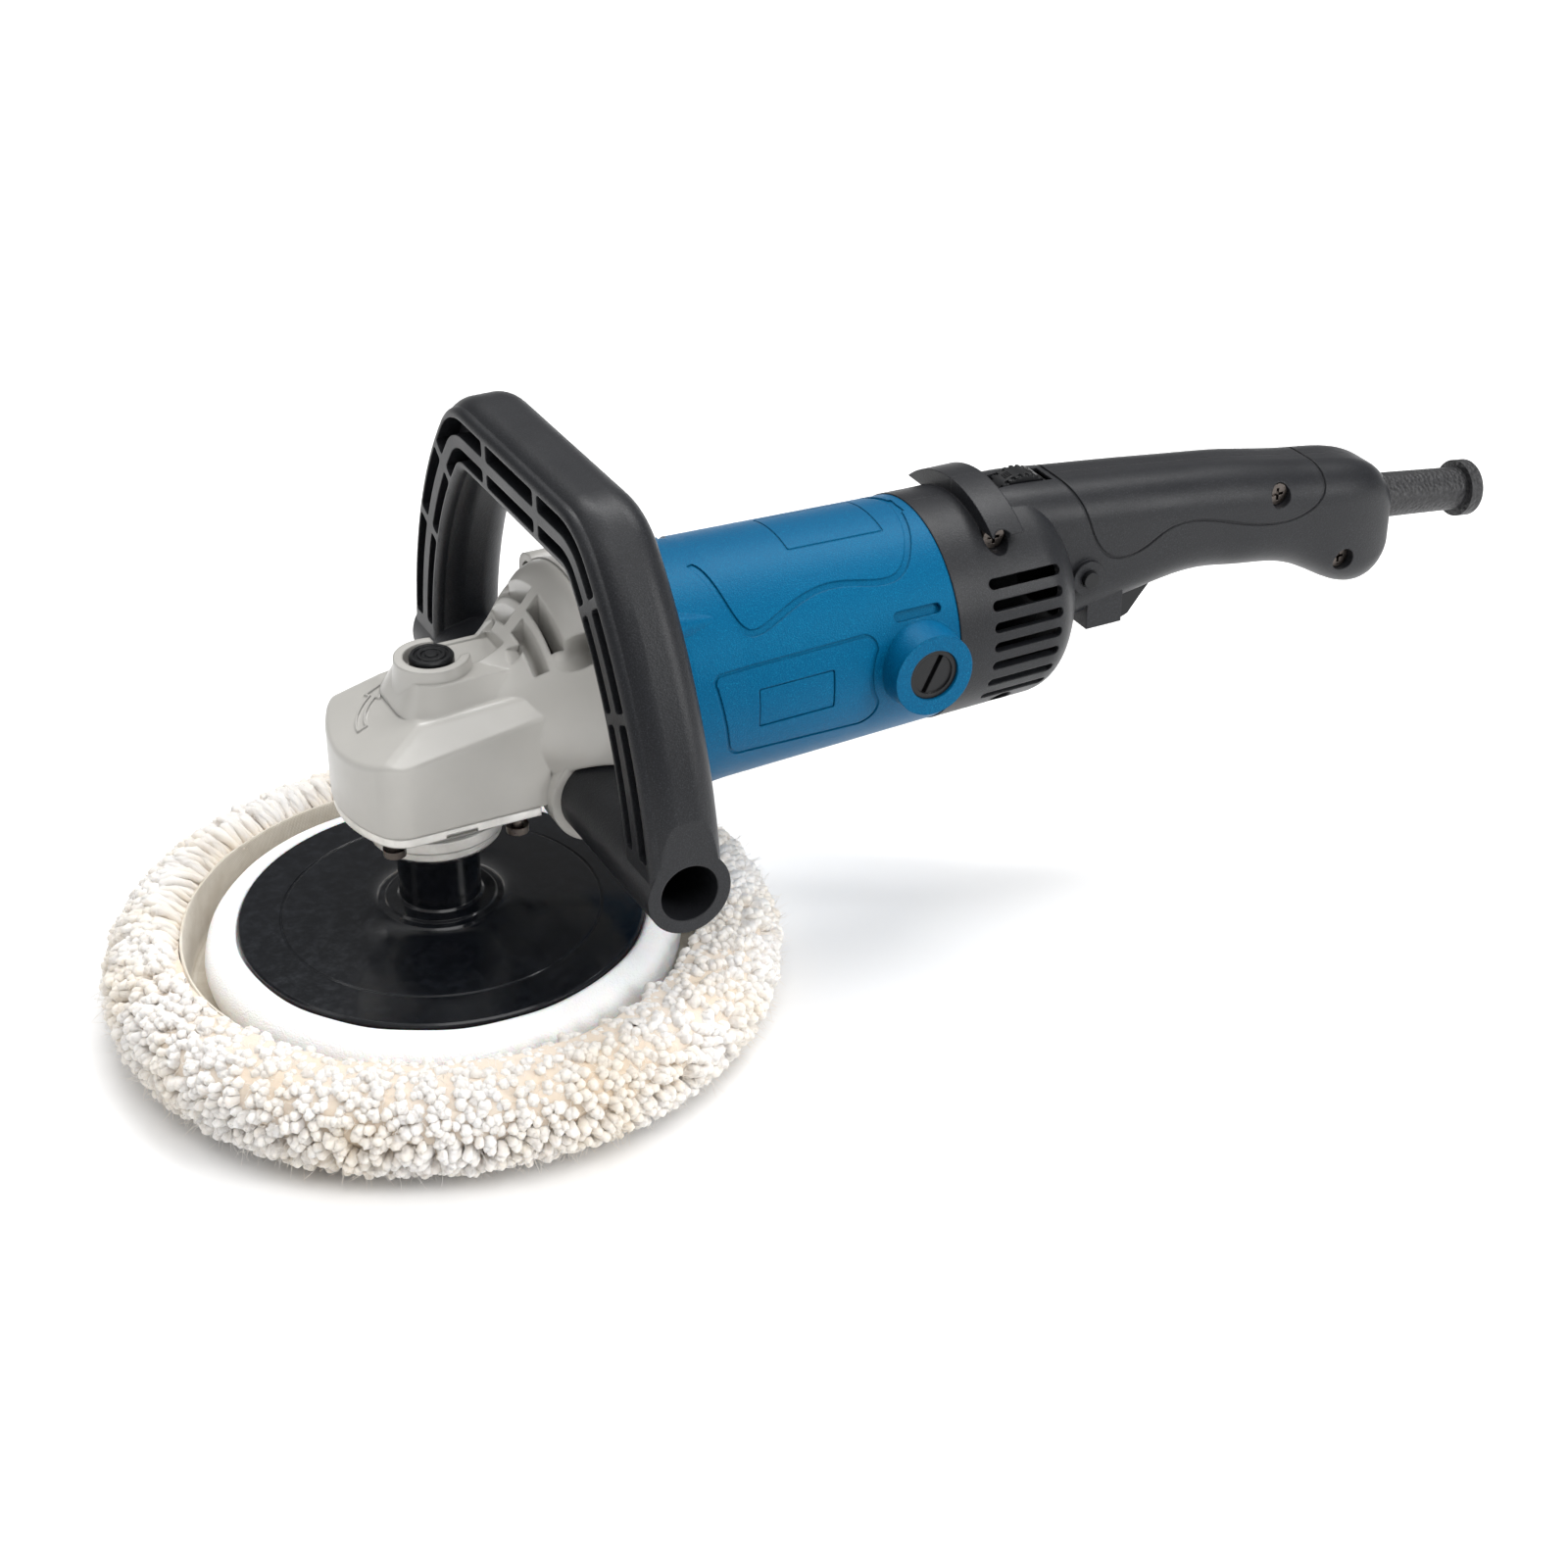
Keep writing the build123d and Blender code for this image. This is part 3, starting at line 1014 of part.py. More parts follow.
with BuildPart() as loop_handle_bolts:
    for s in (-1, 1):
        add(cap_screw(facing(TUBE_X, s * 52.0, TUBE_Z, (0, s, 0)), 6.5, 4.0, 8, 32))
save(loop_handle_bolts, "loop_handle_bolts")
with BuildPart() as loop_handle_washers:
    for s in (-1, 1):
        with BuildSketch(side(s * 50)) as ring:
            with Locations((TUBE_X, TUBE_Z)):
                Circle(8.4)
                Circle(4.2, mode=Mode.SUBTRACT)
        extrude(ring.sketch, amount=-s * 2.0)
save(loop_handle_washers, "loop_handle_washers")
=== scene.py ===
import json
import math

import bpy
import numpy as np
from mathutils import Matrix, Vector


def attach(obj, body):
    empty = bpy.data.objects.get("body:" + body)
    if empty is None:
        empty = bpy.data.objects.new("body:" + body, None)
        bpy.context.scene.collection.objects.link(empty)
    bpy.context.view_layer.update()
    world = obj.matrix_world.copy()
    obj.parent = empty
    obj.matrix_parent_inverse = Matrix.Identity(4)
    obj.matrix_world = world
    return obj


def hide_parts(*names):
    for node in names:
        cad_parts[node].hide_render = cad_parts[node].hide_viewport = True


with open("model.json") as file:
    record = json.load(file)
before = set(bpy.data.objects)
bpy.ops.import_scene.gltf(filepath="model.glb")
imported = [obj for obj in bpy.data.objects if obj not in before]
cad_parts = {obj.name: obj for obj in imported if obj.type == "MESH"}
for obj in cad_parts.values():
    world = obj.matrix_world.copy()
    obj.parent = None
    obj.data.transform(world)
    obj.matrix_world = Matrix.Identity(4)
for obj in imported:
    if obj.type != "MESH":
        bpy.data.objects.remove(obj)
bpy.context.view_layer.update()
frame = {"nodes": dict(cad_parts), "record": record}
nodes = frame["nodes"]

# ---- camera: the photograph's viewing angle and framing -------------------------------------------------
cam_data = bpy.data.cameras.new("camera")
cam_data.sensor_width = 36.0
cam_data.lens = 64.1
cam_data.clip_start = 0.01
cam_data.clip_end = 50.0
cam_data.dof.use_dof = False
camera = bpy.data.objects.new("camera", cam_data)
bpy.context.scene.collection.objects.link(camera)
EYE, AIM, ROLL = Vector((-0.2635, -0.7715, 0.5653)), Vector((0.12384, -0.01753, 0.060)), math.radians(-0.18)
turn = (AIM - EYE).to_track_quat("-Z", "Y").to_euler()
camera.location = EYE
camera.rotation_euler = turn
camera.rotation_euler.rotate_axis("Z", ROLL)
bpy.context.scene.camera = camera
bpy.context.scene.view_settings.view_transform = "Standard"

RNG = np.random.default_rng(7)


# ---- small helpers --------------------------------------------------------------------------------------
class Nodes:
    """A material under construction: add nodes and wire them by socket name."""

    def __init__(self, name):
        self.mat = bpy.data.materials.new(name)
        self.mat.use_nodes = True
        self.tree = self.mat.node_tree
        self.tree.nodes.clear()
        self.out = self.add("ShaderNodeOutputMaterial")
        self.bsdf = self.add("ShaderNodeBsdfPrincipled")
        self.wire(self.bsdf, "BSDF", self.out, "Surface")
        self.coord = self.add("ShaderNodeTexCoord")

    def add(self, kind, **values):
        node = self.tree.nodes.new(kind)
        for key, value in values.items():
            if key in node.inputs:
                node.inputs[key].default_value = value
            else:
                setattr(node, key, value)
        return node

    def set(self, **values):
        for key, value in values.items():
            self.bsdf.inputs[key.replace("_", " ")].default_value = value

    def wire(self, a, out, b, into):
        self.tree.links.new(a.outputs[out], b.inputs[into])

    def noise(self, scale, detail=4.0, rough=0.55, stretch=None):
        n = self.add("ShaderNodeTexNoise", Scale=scale, Detail=detail, Roughness=rough)
        self.place(n, stretch)
        return n

    def voronoi(self, scale, feature="F1", stretch=None):
        n = self.add("ShaderNodeTexVoronoi", Scale=scale)
        n.feature = feature
        self.place(n, stretch)
        return n

    def place(self, n, stretch):
        if stretch:
            m = self.add("ShaderNodeMapping")
            m.inputs["Scale"].default_value = stretch
            self.wire(self.coord, "Object", m, "Vector")
            self.wire(m, "Vector", n, "Vector")
        else:
            self.wire(self.coord, "Object", n, "Vector")

    def ramp(self, source, out, stops):
        r = self.add("ShaderNodeValToRGB")
        e = r.color_ramp.elements
        while len(e) < len(stops):
            e.new(0.5)
        for item, (at, colour) in zip(e, stops):
            item.position = at
            item.color = colour if len(colour) == 4 else (*colour, 1)
        self.wire(source, out, r, "Fac")
        return r

    def span(self, source, out, lo, hi, a=0.0, b=1.0):
        m = self.add("ShaderNodeMapRange")
        for key, v in (("From Min", a), ("From Max", b), ("To Min", lo), ("To Max", hi)):
            m.inputs[key].default_value = v
        self.wire(source, out, m, "Value")
        return m

    def multiply(self, first, second):
        """Base colour from the product of two ramps."""
        mix = self.add("ShaderNodeMix", data_type="RGBA", blend_type="MULTIPLY")
        mix.inputs[0].default_value = 1.0
        self.tree.links.new(first.outputs["Color"], mix.inputs[6])
        self.tree.links.new(second.outputs["Color"], mix.inputs[7])
        self.tree.links.new(mix.outputs[2], self.bsdf.inputs["Base Color"])

    def bumps(self, layers, radius=0.0):
        """Stack (node, output, strength, distance in metres); radius rounds hard edges in the shading."""
        last = None
        if radius:
            last = self.add("ShaderNodeBevel", Radius=radius)
            last.samples = 4
        for node, out, strength, distance in layers:
            b = self.add("ShaderNodeBump", Strength=strength, Distance=distance)
            self.wire(node, out, b, "Height")
            if last:
                self.wire(last, "Normal", b, "Normal")
            last = b
        self.wire(last, "Normal", self.bsdf, "Normal")


def lin(r, g, b):
    """Display colour 0..255 to linear."""
    parts = (r / 255, g / 255, b / 255)
    return tuple((c / 12.92 if c <= 0.04045 else ((c + 0.055) / 1.055) ** 2.4) for c in parts)


def shade(colour, k):
    return tuple(min(1.0, c * k) for c in colour)


def plastic(name, colour, rough, grain=2600, depth=0.35, spec=0.5):
    """Moulded plastic or paint: fine grain in the bump, faint drift in colour and gloss, soft edges."""
    m = Nodes(name)
    fine = m.noise(grain, 3.0, 0.6)
    drift = m.noise(38, 5.0, 0.6)
    base = m.ramp(drift, "Fac", [(0.3, shade(colour, 1 - 0.12)), (0.7, shade(colour, 1 + 0.12))])
    m.wire(base, "Color", m.bsdf, "Base Color")
    r = m.span(drift, "Fac", rough - 0.06, rough + 0.07, 0.3, 0.7)
    m.wire(r, "Result", m.bsdf, "Roughness")
    m.set(Specular_IOR_Level=spec)
    m.bumps([(fine, "Fac", depth, 0.00012), (drift, "Fac", 0.05, 0.0006)], 0.0006)
    return m.mat


def metal(name, colour, rough, stretch=None, grain=900, depth=0.15, radius=0.0003):
    m = Nodes(name)
    lines = m.noise(grain, 4.0, 0.6, stretch)
    dirt = m.noise(90, 5.0, 0.6)
    base = m.ramp(dirt, "Fac", [(0.3, shade(colour, 0.8)), (0.7, shade(colour, 1.08))])
    m.wire(base, "Color", m.bsdf, "Base Color")
    r = m.span(lines, "Fac", rough - 0.08, rough + 0.12, 0.3, 0.7)
    m.wire(r, "Result", m.bsdf, "Roughness")
    m.set(Metallic=1.0)
    m.bumps([(lines, "Fac", depth, 0.00008)], radius)
    return m.mat


# ---- materials of the hard pieces -----------------------------------------------------------------------
def cast_paint():
    """Warm light grey sprayed casting: orange-peel bump over a soft cast surface."""
    colour = lin(178, 176, 171)
    m = Nodes("cast_grey")
    peel = m.noise(900, 3.0, 0.5)
    lump = m.noise(120, 4.0, 0.55)
    drift = m.noise(22, 4.0, 0.6)
    base = m.ramp(drift, "Fac", [(0.3, shade(colour, 0.93)), (0.7, shade(colour, 1.04))])
    m.wire(base, "Color", m.bsdf, "Base Color")
    r = m.span(lump, "Fac", 0.30, 0.42, 0.3, 0.7)
    m.wire(r, "Result", m.bsdf, "Roughness")
    m.set(Specular_IOR_Level=0.55, Coat_Weight=0.25, Coat_Roughness=0.28)
    m.bumps([(lump, "Fac", 0.06, 0.0008), (peel, "Fac", 0.10, 0.00012)], 0.0014)
    return m.mat


def blue_shell():
    """Blue spark-eroded plastic: a dense speckle from the same noise as the bump, darker in the pits and
    brighter on the crests, painted shade and glints.
    """
    colour = lin(0, 80, 120)
    m = Nodes("blue_housing")
    grain = m.voronoi(1500)
    fine = m.noise(3200, 2.0, 0.5)
    drift = m.noise(14, 3.0, 0.5)
    # speckle follows the bump noise: its darker end is painted shade in the pits, its bright end a painted
    # glint on the crests
    speckle_and_glint = m.ramp(fine, "Fac", [(0.40, shade(colour, 0.86)), (0.56, colour), (0.74, (0.004, 0.17, 0.30))])
    wash = m.ramp(drift, "Fac", [(0.3, (0.93, 0.95, 0.97)), (0.7, (1, 1, 1))])
    m.multiply(speckle_and_glint, wash)
    r = m.span(fine, "Fac", 0.34, 0.50, 0.3, 0.7)
    m.wire(r, "Result", m.bsdf, "Roughness")
    m.set(Specular_IOR_Level=0.28)
    m.bsdf.inputs["Specular Tint"].default_value = (0.10, 0.55, 0.80, 1)
    m.bumps([(grain, "Distance", 0.22, 0.00025), (fine, "Fac", 0.18, 0.00010)], 0.0007)
    return m.mat


def black_shell():
    """Glass-filled black plastic: satin, with a fine speckle from the same noise as the bump, darker in the
    pits and pale on the crests, painted shade and sheen.
    """
    colour = lin(29, 30, 33)
    m = Nodes("black_shell")
    fine = m.noise(2600, 3.0, 0.55)
    grain = m.voronoi(1300)
    drift = m.noise(26, 4.0, 0.6)
    # painted shade in the pits and painted sheen on the crests of the fine bump
    base = m.ramp(fine, "Fac", [(0.38, shade(colour, 0.75)), (0.55, colour), (0.74, shade(colour, 2.4))])
    m.wire(base, "Color", m.bsdf, "Base Color")
    r = m.span(drift, "Fac", 0.33, 0.46, 0.3, 0.7)
    m.wire(r, "Result", m.bsdf, "Roughness")
    m.set(Specular_IOR_Level=0.25)
    m.bumps([(grain, "Distance", 0.16, 0.00022), (fine, "Fac", 0.16, 0.00010)], 0.0008)
    return m.mat


def grain_rubber():
    colour = lin(22, 22, 24)
    m = Nodes("black_guard")
    cells = m.voronoi(620)
    fine = m.noise(1800, 3.0, 0.6)
    # colour follows the same cells as the bump: painted shade in the pits, painted highlight on the ridges
    base = m.ramp(cells, "Distance", [(0.1, shade(colour, 0.5)), (0.7, shade(colour, 1.7))])
    m.wire(base, "Color", m.bsdf, "Base Color")
    r = m.span(fine, "Fac", 0.42, 0.62, 0.3, 0.7)
    m.wire(r, "Result", m.bsdf, "Roughness")
    m.bumps([(cells, "Distance", 0.7, 0.0005), (fine, "Fac", 0.2, 0.00012)], 0.0005)
    return m.mat


def plate_gloss():
    """Polished moulded plate: deep blue-black, faint turning marks and dust."""
    colour = lin(13, 15, 19)
    m = Nodes("plate_black")
    sep = m.add("ShaderNodeSeparateXYZ")
    m.wire(m.coord, "Object", sep, "Vector")
    flat = m.add("ShaderNodeCombineXYZ")
    m.wire(sep, "X", flat, "X")
    m.wire(sep, "Y", flat, "Y")
    length = m.add("ShaderNodeVectorMath", operation="LENGTH")
    m.wire(flat, "Vector", length, 0)
    rings = m.add("ShaderNodeTexNoise", Scale=1.0, Detail=3.0)
    rings.noise_dimensions = "1D"
    times = m.add("ShaderNodeMath", operation="MULTIPLY")
    times.inputs[1].default_value = 900.0
    m.wire(length, "Value", times, 0)
    m.wire(times, "Value", rings, "W")
    dust = m.noise(260, 6.0, 0.75)
    base = m.ramp(dust, "Fac", [(0.45, colour), (0.80, shade(colour, 2.6))])
    m.wire(base, "Color", m.bsdf, "Base Color")
    r = m.span(dust, "Fac", 0.13, 0.30, 0.4, 0.8)
    m.wire(r, "Result", m.bsdf, "Roughness")
    m.set(Specular_IOR_Level=0.34)
    m.bumps([(rings, "Fac", 0.03, 0.0002), (dust, "Fac", 0.04, 0.0002)], 0.0005)
    return m.mat


LOOKS = {
    "cast_grey": cast_paint(),
    "cast_silver": metal("cast_silver", lin(214, 213, 210), 0.36, grain=700, depth=0.25, radius=0.0008),
    "blue_housing": blue_shell(),
    "black_shell": black_shell(),
    "black_fittings": plastic("black_fittings", lin(18, 19, 21), 0.33, grain=1900, depth=0.12, spec=0.26),
    "black_guard": grain_rubber(),
    "plate_black": plate_gloss(),
    "hook_fabric": plastic("hook_fabric", lin(205, 204, 200), 0.9, grain=1500, depth=0.9),
    "steel": metal("steel", lin(196, 197, 200), 0.26, stretch=(1, 1, 9)),
    "screw_steel": metal("screw_steel", lin(92, 86, 82), 0.32),
    "laminated_iron": metal("laminated_iron", lin(120, 120, 124), 0.42, stretch=(14, 1, 1)),
    "copper": metal("copper", lin(196, 118, 74), 0.34, stretch=(1, 6, 6)),
    "brass": metal("brass", lin(212, 176, 104), 0.30),
    "carbon": plastic("carbon", lin(34, 34, 35), 0.55, grain=1500, depth=0.4),
    "board": plastic("board", lin(36, 92, 52), 0.45, grain=900, depth=0.3),
    "wool": None, "foam": None, "felt": None,
}
slot_of = {s["node"]: s["material_slot"] for s in frame["record"]["subparts"]}
for name, obj in nodes.items():
    look = LOOKS.get(slot_of.get(name))
    if look is None:
        continue
    obj.data.materials.clear()
    obj.data.materials.append(look)


# ---- mesh building --------------------------------------------------------------------------------------
def make_mesh(name, verts, faces, material, tone_and_shade=None):
    """Smooth-shaded mesh of quads; the per-vertex value that the wool material reads is random tone plus
    painted shade at the yarn roots.
    """
    verts = np.asarray(verts, dtype=np.float32)
    faces = np.asarray(faces, dtype=np.int32)
    mesh = bpy.data.meshes.new(name)
    mesh.vertices.add(len(verts))
    mesh.vertices.foreach_set("co", verts.ravel())
    n = faces.shape[1]
    mesh.loops.add(faces.size)
    mesh.loops.foreach_set("vertex_index", faces.ravel())
    mesh.polygons.add(len(faces))
    mesh.polygons.foreach_set("loop_start", np.arange(0, faces.size, n, dtype=np.int32))
    mesh.update(calc_edges=True)
    mesh.validate()
    mesh.polygons.foreach_set("use_smooth", np.full(len(mesh.polygons), True))
    if tone_and_shade is not None:
        attr = mesh.attributes.new("tone_and_shade", "FLOAT", "POINT")
        attr.data.foreach_set("value", np.asarray(tone_and_shade, dtype=np.float32))
    mesh.materials.append(material)
    obj = bpy.data.objects.new(name, mesh)
    bpy.context.scene.collection.objects.link(obj)
    return obj


def turned(name, profile, material, segments=256, ripple=None):
    """Closed or open (r, z) profile turned about Z; ripple(angle, k) gives extra (dr, dz)."""
    p = np.asarray(profile, dtype=float)
    a = np.linspace(0, 2 * np.pi, segments, endpoint=False)
    verts = np.zeros((segments, len(p), 3))
    r = np.broadcast_to(p[:, 0], (segments, len(p))).copy()
    z = np.broadcast_to(p[:, 1], (segments, len(p))).copy()
    if ripple is not None:
        dr, dz = ripple(a[:, None], np.arange(len(p))[None, :])
        r, z = r + dr, z + dz
    verts[..., 0] = r * np.cos(a)[:, None]
    verts[..., 1] = r * np.sin(a)[:, None]
    verts[..., 2] = z
    i, j = np.meshgrid(np.arange(segments), np.arange(len(p) - 1), indexing="ij")
    q = lambda ii, jj: (ii % segments) * len(p) + jj
    faces = np.stack([q(i, j), q(i + 1, j), q(i + 1, j + 1), q(i, j + 1)], -1).reshape(-1, 4)
    return make_mesh(name, verts.reshape(-1, 3), faces, material)


def hump(a, seed, waves, size):
    """Smooth periodic wobble round the pad."""
    g = np.random.default_rng(seed)
    out = np.zeros_like(a)
    for k in waves:
        out = out + np.sin(k * a + g.uniform(0, 6.28)) * g.uniform(0.4, 1.0)
    return out * size / len(waves)


# ---- wool ----------------------------------------------------------------------------------------------
def wool_look():
    """Cut twisted yarn: soft, matt, off-white with cream patches; its darker roots are painted shade."""
    m = Nodes("wool_yarn")
    tone_and_shade = m.add("ShaderNodeAttribute", attribute_name="tone_and_shade")
    # low values give the painted shade at the yarn roots, high values the lighter tips
    tone = m.ramp(tone_and_shade, "Fac", [(0.0, lin(230, 216, 200)), (0.25, lin(238, 228, 216)),
                                (0.55, lin(242, 235, 227)), (1.0, lin(246, 243, 239))])
    patch = m.noise(34, 3.0, 0.5)
    cream = m.ramp(patch, "Fac", [(0.42, (1, 1, 1)), (0.68, lin(252, 246, 236))])
    m.multiply(tone, cream)
    fibre = m.noise(2400, 5.0, 0.75)
    fuzz = m.noise(900, 4.0, 0.7)
    r = m.span(fuzz, "Fac", 0.86, 1.0)
    m.wire(r, "Result", m.bsdf, "Roughness")
    m.set(Specular_IOR_Level=0.2, Sheen_Weight=0.45, Sheen_Roughness=0.5, Subsurface_Weight=0.25,
          Subsurface_Scale=0.004)
    m.bsdf.inputs["Subsurface Radius"].default_value = (1.0, 0.8, 0.6)
    m.bumps([(fuzz, "Fac", 0.4, 0.0007), (fibre, "Fac", 0.6, 0.0004)])
    return m.mat


def strands(path, radius, phase, twist, sides, plies=2):
    """Tubes along many paths at once. path (n, rings, 3); radius (n, rings); returns verts and quads."""
    n, rings, _ = path.shape
    t = np.gradient(path, axis=1)
    t /= np.linalg.norm(t, axis=2, keepdims=True) + 1e-12
    up = np.zeros_like(t)
    up[..., 2] = 1.0
    side = np.cross(t, up)
    weak = np.linalg.norm(side, axis=2) < 0.15
    side[weak] = np.cross(t[weak], (1.0, 0.0, 0.0))
    side /= np.linalg.norm(side, axis=2, keepdims=True) + 1e-12
    top = np.cross(side, t)
    th = np.linspace(0, 2 * np.pi, sides, endpoint=False)
    s = np.linspace(0, 1, rings)
    spun = th[None, None, :] - phase[:, None, None] - twist[:, None, None] * s[None, :, None]
    lobes = 1 + 0.20 * np.cos(plies * spun)
    rad = radius[:, :, None] * lobes
    verts = (path[:, :, None, :] + rad[..., None] * (np.cos(th)[None, None, :, None] * side[:, :, None, :]
                                                     + np.sin(th)[None, None, :, None] * top[:, :, None, :]))
    k, i, j = np.meshgrid(np.arange(n), np.arange(rings - 1), np.arange(sides), indexing="ij")
    q = lambda ii, jj: k * rings * sides + ii * sides + jj % sides
    faces = np.stack([q(i, j), q(i, j + 1), q(i + 1, j + 1), q(i + 1, j)], -1).reshape(-1, 4)
    return verts.reshape(-1, 3), faces


def radial(r, a, z):
    return np.stack([r * np.cos(a), r * np.sin(a), z], -1)


RIM_R, RIM_Z = 0.0985, 0.0178       # centre of the rounded section of the pile
CUP_R = 0.0896                      # outside of the cloth cup


def upright(a):
    """1 on the side of the pad where the tufts stand on end, 0 where they lie combed outward."""
    return np.clip(0.35 + 1.1 * np.cos(a + 1.75), 0, 1)


def skirt_yarn():
    """Yarn round the rim: rooted near the cloth cup, combed outward or standing, over the edge."""
    rows = 20
    path, radius, tone_and_shade = [], [], []
    s = np.array([0, 0.2, 0.42, 0.62, 0.76, 0.86, 0.94, 0.985, 1.0])
    for row in range(rows):
        u = row / (rows - 1)                                # 0 at the top inside edge, 1 at the working face
        count = int(206 + 22 * math.sin(math.pi * u))
        a = (np.arange(count) + 0.5 * (row % 2) + RNG.uniform(-0.34, 0.34, count)) * 2 * np.pi / count
        up = upright(a)
        # ang is where the tip sits round the section
        ang = np.radians(78 + 46 * up) - u * np.radians(166 + 42 * up)
        ang = ang + RNG.normal(0, 0.075, count)
        reach = 1 + hump(a, 3 + row, (2, 3, 5, 7, 11, 17, 23), 0.07) + RNG.normal(0, 0.035, count)
        reach = np.minimum(reach, 1.08)
        rt = RIM_R + 0.0185 * np.cos(ang) * reach
        zt = RIM_Z + np.where(ang > 0, 0.0172, 0.0158) * np.sin(ang) * reach
        zt = np.where(rt < 0.0925, np.maximum(zt, 0.0343), zt)  # over the rim of the cloth cup
        rr = np.full(count, CUP_R if u < 0.72 else CUP_R - (u - 0.72) * 0.02)
        zr = 0.031 - 0.027 * u + RNG.normal(0, 0.0008, count)
        skew = hump(a, 40, (3, 4, 7, 9), 0.05) + RNG.normal(0, 0.035, count)
        up = up * 0.6
        rr = rr + (RIM_R - rr) * up
        zr = zr + (0.0160 - zr) * up
        root = radial(rr, a, zr)
        arch = (0.0042 * (1 - u) + 0.001) * (1 - up)
        mid = radial(rr + (rt - rr) * 0.55, a + skew * 0.4, zr + (zt - zr) * 0.55 + arch)
        tip = radial(rt, a + skew * 0.9, zt)
        w = ((1 - s) ** 2)[None, :, None], (2 * s * (1 - s))[None, :, None], (s ** 2)[None, :, None]
        path.append(w[0] * root[:, None] + w[1] * mid[:, None] + w[2] * tip[:, None])
        body = np.array([0.75, 0.85, 0.95, 1.05, 1.10, 1.08, 0.88, 0.52, 0.06])
        size = RNG.normal(0.00182, 0.00016, count) * (1 + 0.08 * up)
        radius.append(size[:, None] * body[None, :])
        shadow = np.interp(s, (0, 0.3, 1), (-0.45, -0.12, 0.08))
        tone_and_shade.append(RNG.normal(0.72, 0.09, count)[:, None] + shadow[None, :])
    path, radius, tone_and_shade = np.concatenate(path), np.concatenate(radius), np.concatenate(tone_and_shade)
    # nothing goes under the working face
    path[..., 2] = np.clip(path[..., 2], radius * 0.9 + 0.0002, None)
    n = len(path)
    verts, faces = strands(path, radius, RNG.uniform(0, 6.28, n), RNG.normal(9.5, 1.0, n), 6)
    return verts, faces, np.repeat(np.clip(tone_and_shade, 0, 1), 6, axis=1).ravel()


def stray_fibres(count=5200):
    """Fine loose hairs standing off the rim of the pile."""
    a = RNG.uniform(0, 2 * np.pi, count)
    ang = np.radians(RNG.uniform(-70, 100, count))
    base = radial(RIM_R + 0.0178 * np.cos(ang), a,
                  RIM_Z + np.where(ang > 0, 0.0166, 0.0150) * np.sin(ang))
    out = radial(np.cos(ang), a, np.sin(ang)) + RNG.normal(0, 0.65, (count, 3))
    out /= np.linalg.norm(out, axis=1, keepdims=True)
    bend = RNG.normal(0, 0.5, (count, 3))
    size = RNG.uniform(0.0014, 0.0042, count)
    s = np.linspace(0, 1, 4)
    path = (base[:, None] + out[:, None] * (s[None, :, None] * size[:, None, None])
            + bend[:, None] * ((s ** 2)[None, :, None] * size[:, None, None]))
    path[..., 2] = np.clip(path[..., 2], 0.0003, 0.0372)
    radius = np.full((count, 4), 0.00009) * np.array([1.0, 1.0, 0.8, 0.4])[None, :]
    verts, faces = strands(path, radius, np.zeros(count), np.zeros(count), 3)
    return verts, faces, np.full(len(verts), 0.8)


def face_yarn():
    """Pile of the working face: short tufts standing straight down, tips level at z = 0."""
    spots = []
    step = 0.0046
    for ring in range(1, 21):
        r = ring * step * 1.02
        count = max(6, int(2 * np.pi * r / step))
        a = (np.arange(count) + RNG.uniform(-0.3, 0.3, count)) * 2 * np.pi / count + ring * 0.7
        spots.append(np.stack([r * np.cos(a), r * np.sin(a)], -1))
    xy = np.concatenate(spots)
    n, rings = len(xy), 5
    s = np.linspace(0, 1, rings)
    lean = RNG.normal(0, 0.0013, (n, 2))
    path = np.zeros((n, rings, 3))
    path[..., 0] = xy[:, 0, None] + lean[:, 0, None] * s
    path[..., 1] = xy[:, 1, None] + lean[:, 1, None] * s
    path[..., 2] = 0.0075 - 0.0073 * s[None, :] * (1 - 0.06 * np.abs(RNG.normal(0, 1, n)))[:, None]
    body = np.interp(s, (0, 0.5, 0.8, 1.0), (1.0, 1.1, 0.85, 0.1))
    radius = RNG.normal(0.0026, 0.0002, n)[:, None] * body[None, :]
    # random tone per tuft plus painted shade, darkest at the root and lightest at the tip
    tone_and_shade = np.clip(RNG.normal(0.66, 0.12, n)[:, None] + np.linspace(-0.3, 0.05, rings)[None, :], 0, 1)
    verts, faces = strands(path, radius, RNG.uniform(0, 6.28, n), RNG.normal(3, 0.6, n), 7)
    return verts, faces, np.repeat(tone_and_shade, 7, axis=1).ravel()


wool_mat = wool_look()
v1, f1, t1 = skirt_yarn()
v2, f2, t2 = face_yarn()
v3, f3, t3 = stray_fibres()
wool = make_mesh("wool_yarn", np.concatenate([v1, v2, v3]),
                 np.concatenate([f1, f2 + len(v1), f3 + len(v1) + len(v2)]),
                 wool_mat, np.concatenate([t1, t2, t3]))
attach(wool, "spindle_set")
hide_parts("wool_pad")

# the dense bed under the tufts, so no gap shows between them; with no per-vertex tone it takes the darkest
# colour of the wool ramp, the painted root shade
def bed_ripple(a, k):
    lift = upright(a) * (k > 3)
    return (hump(a + 0.3 * k, 91, (9, 14, 22, 31), 0.0009) + 0.0034 * lift * (k < 7),
            hump(a + 0.2 * k, 92, (11, 17, 29), 0.0005) + 0.0044 * lift)


bed_profile = [(0.0001, 0.0070), (0.0900, 0.0066), (0.1010, 0.0066), (0.1075, 0.0105),
               (0.1095, 0.0175), (0.1065, 0.0250), (0.0990, 0.0290), (0.0900, 0.0300)]
bed = turned("wool_bed", bed_profile, wool_mat, 192, bed_ripple)
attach(bed, "spindle_set")


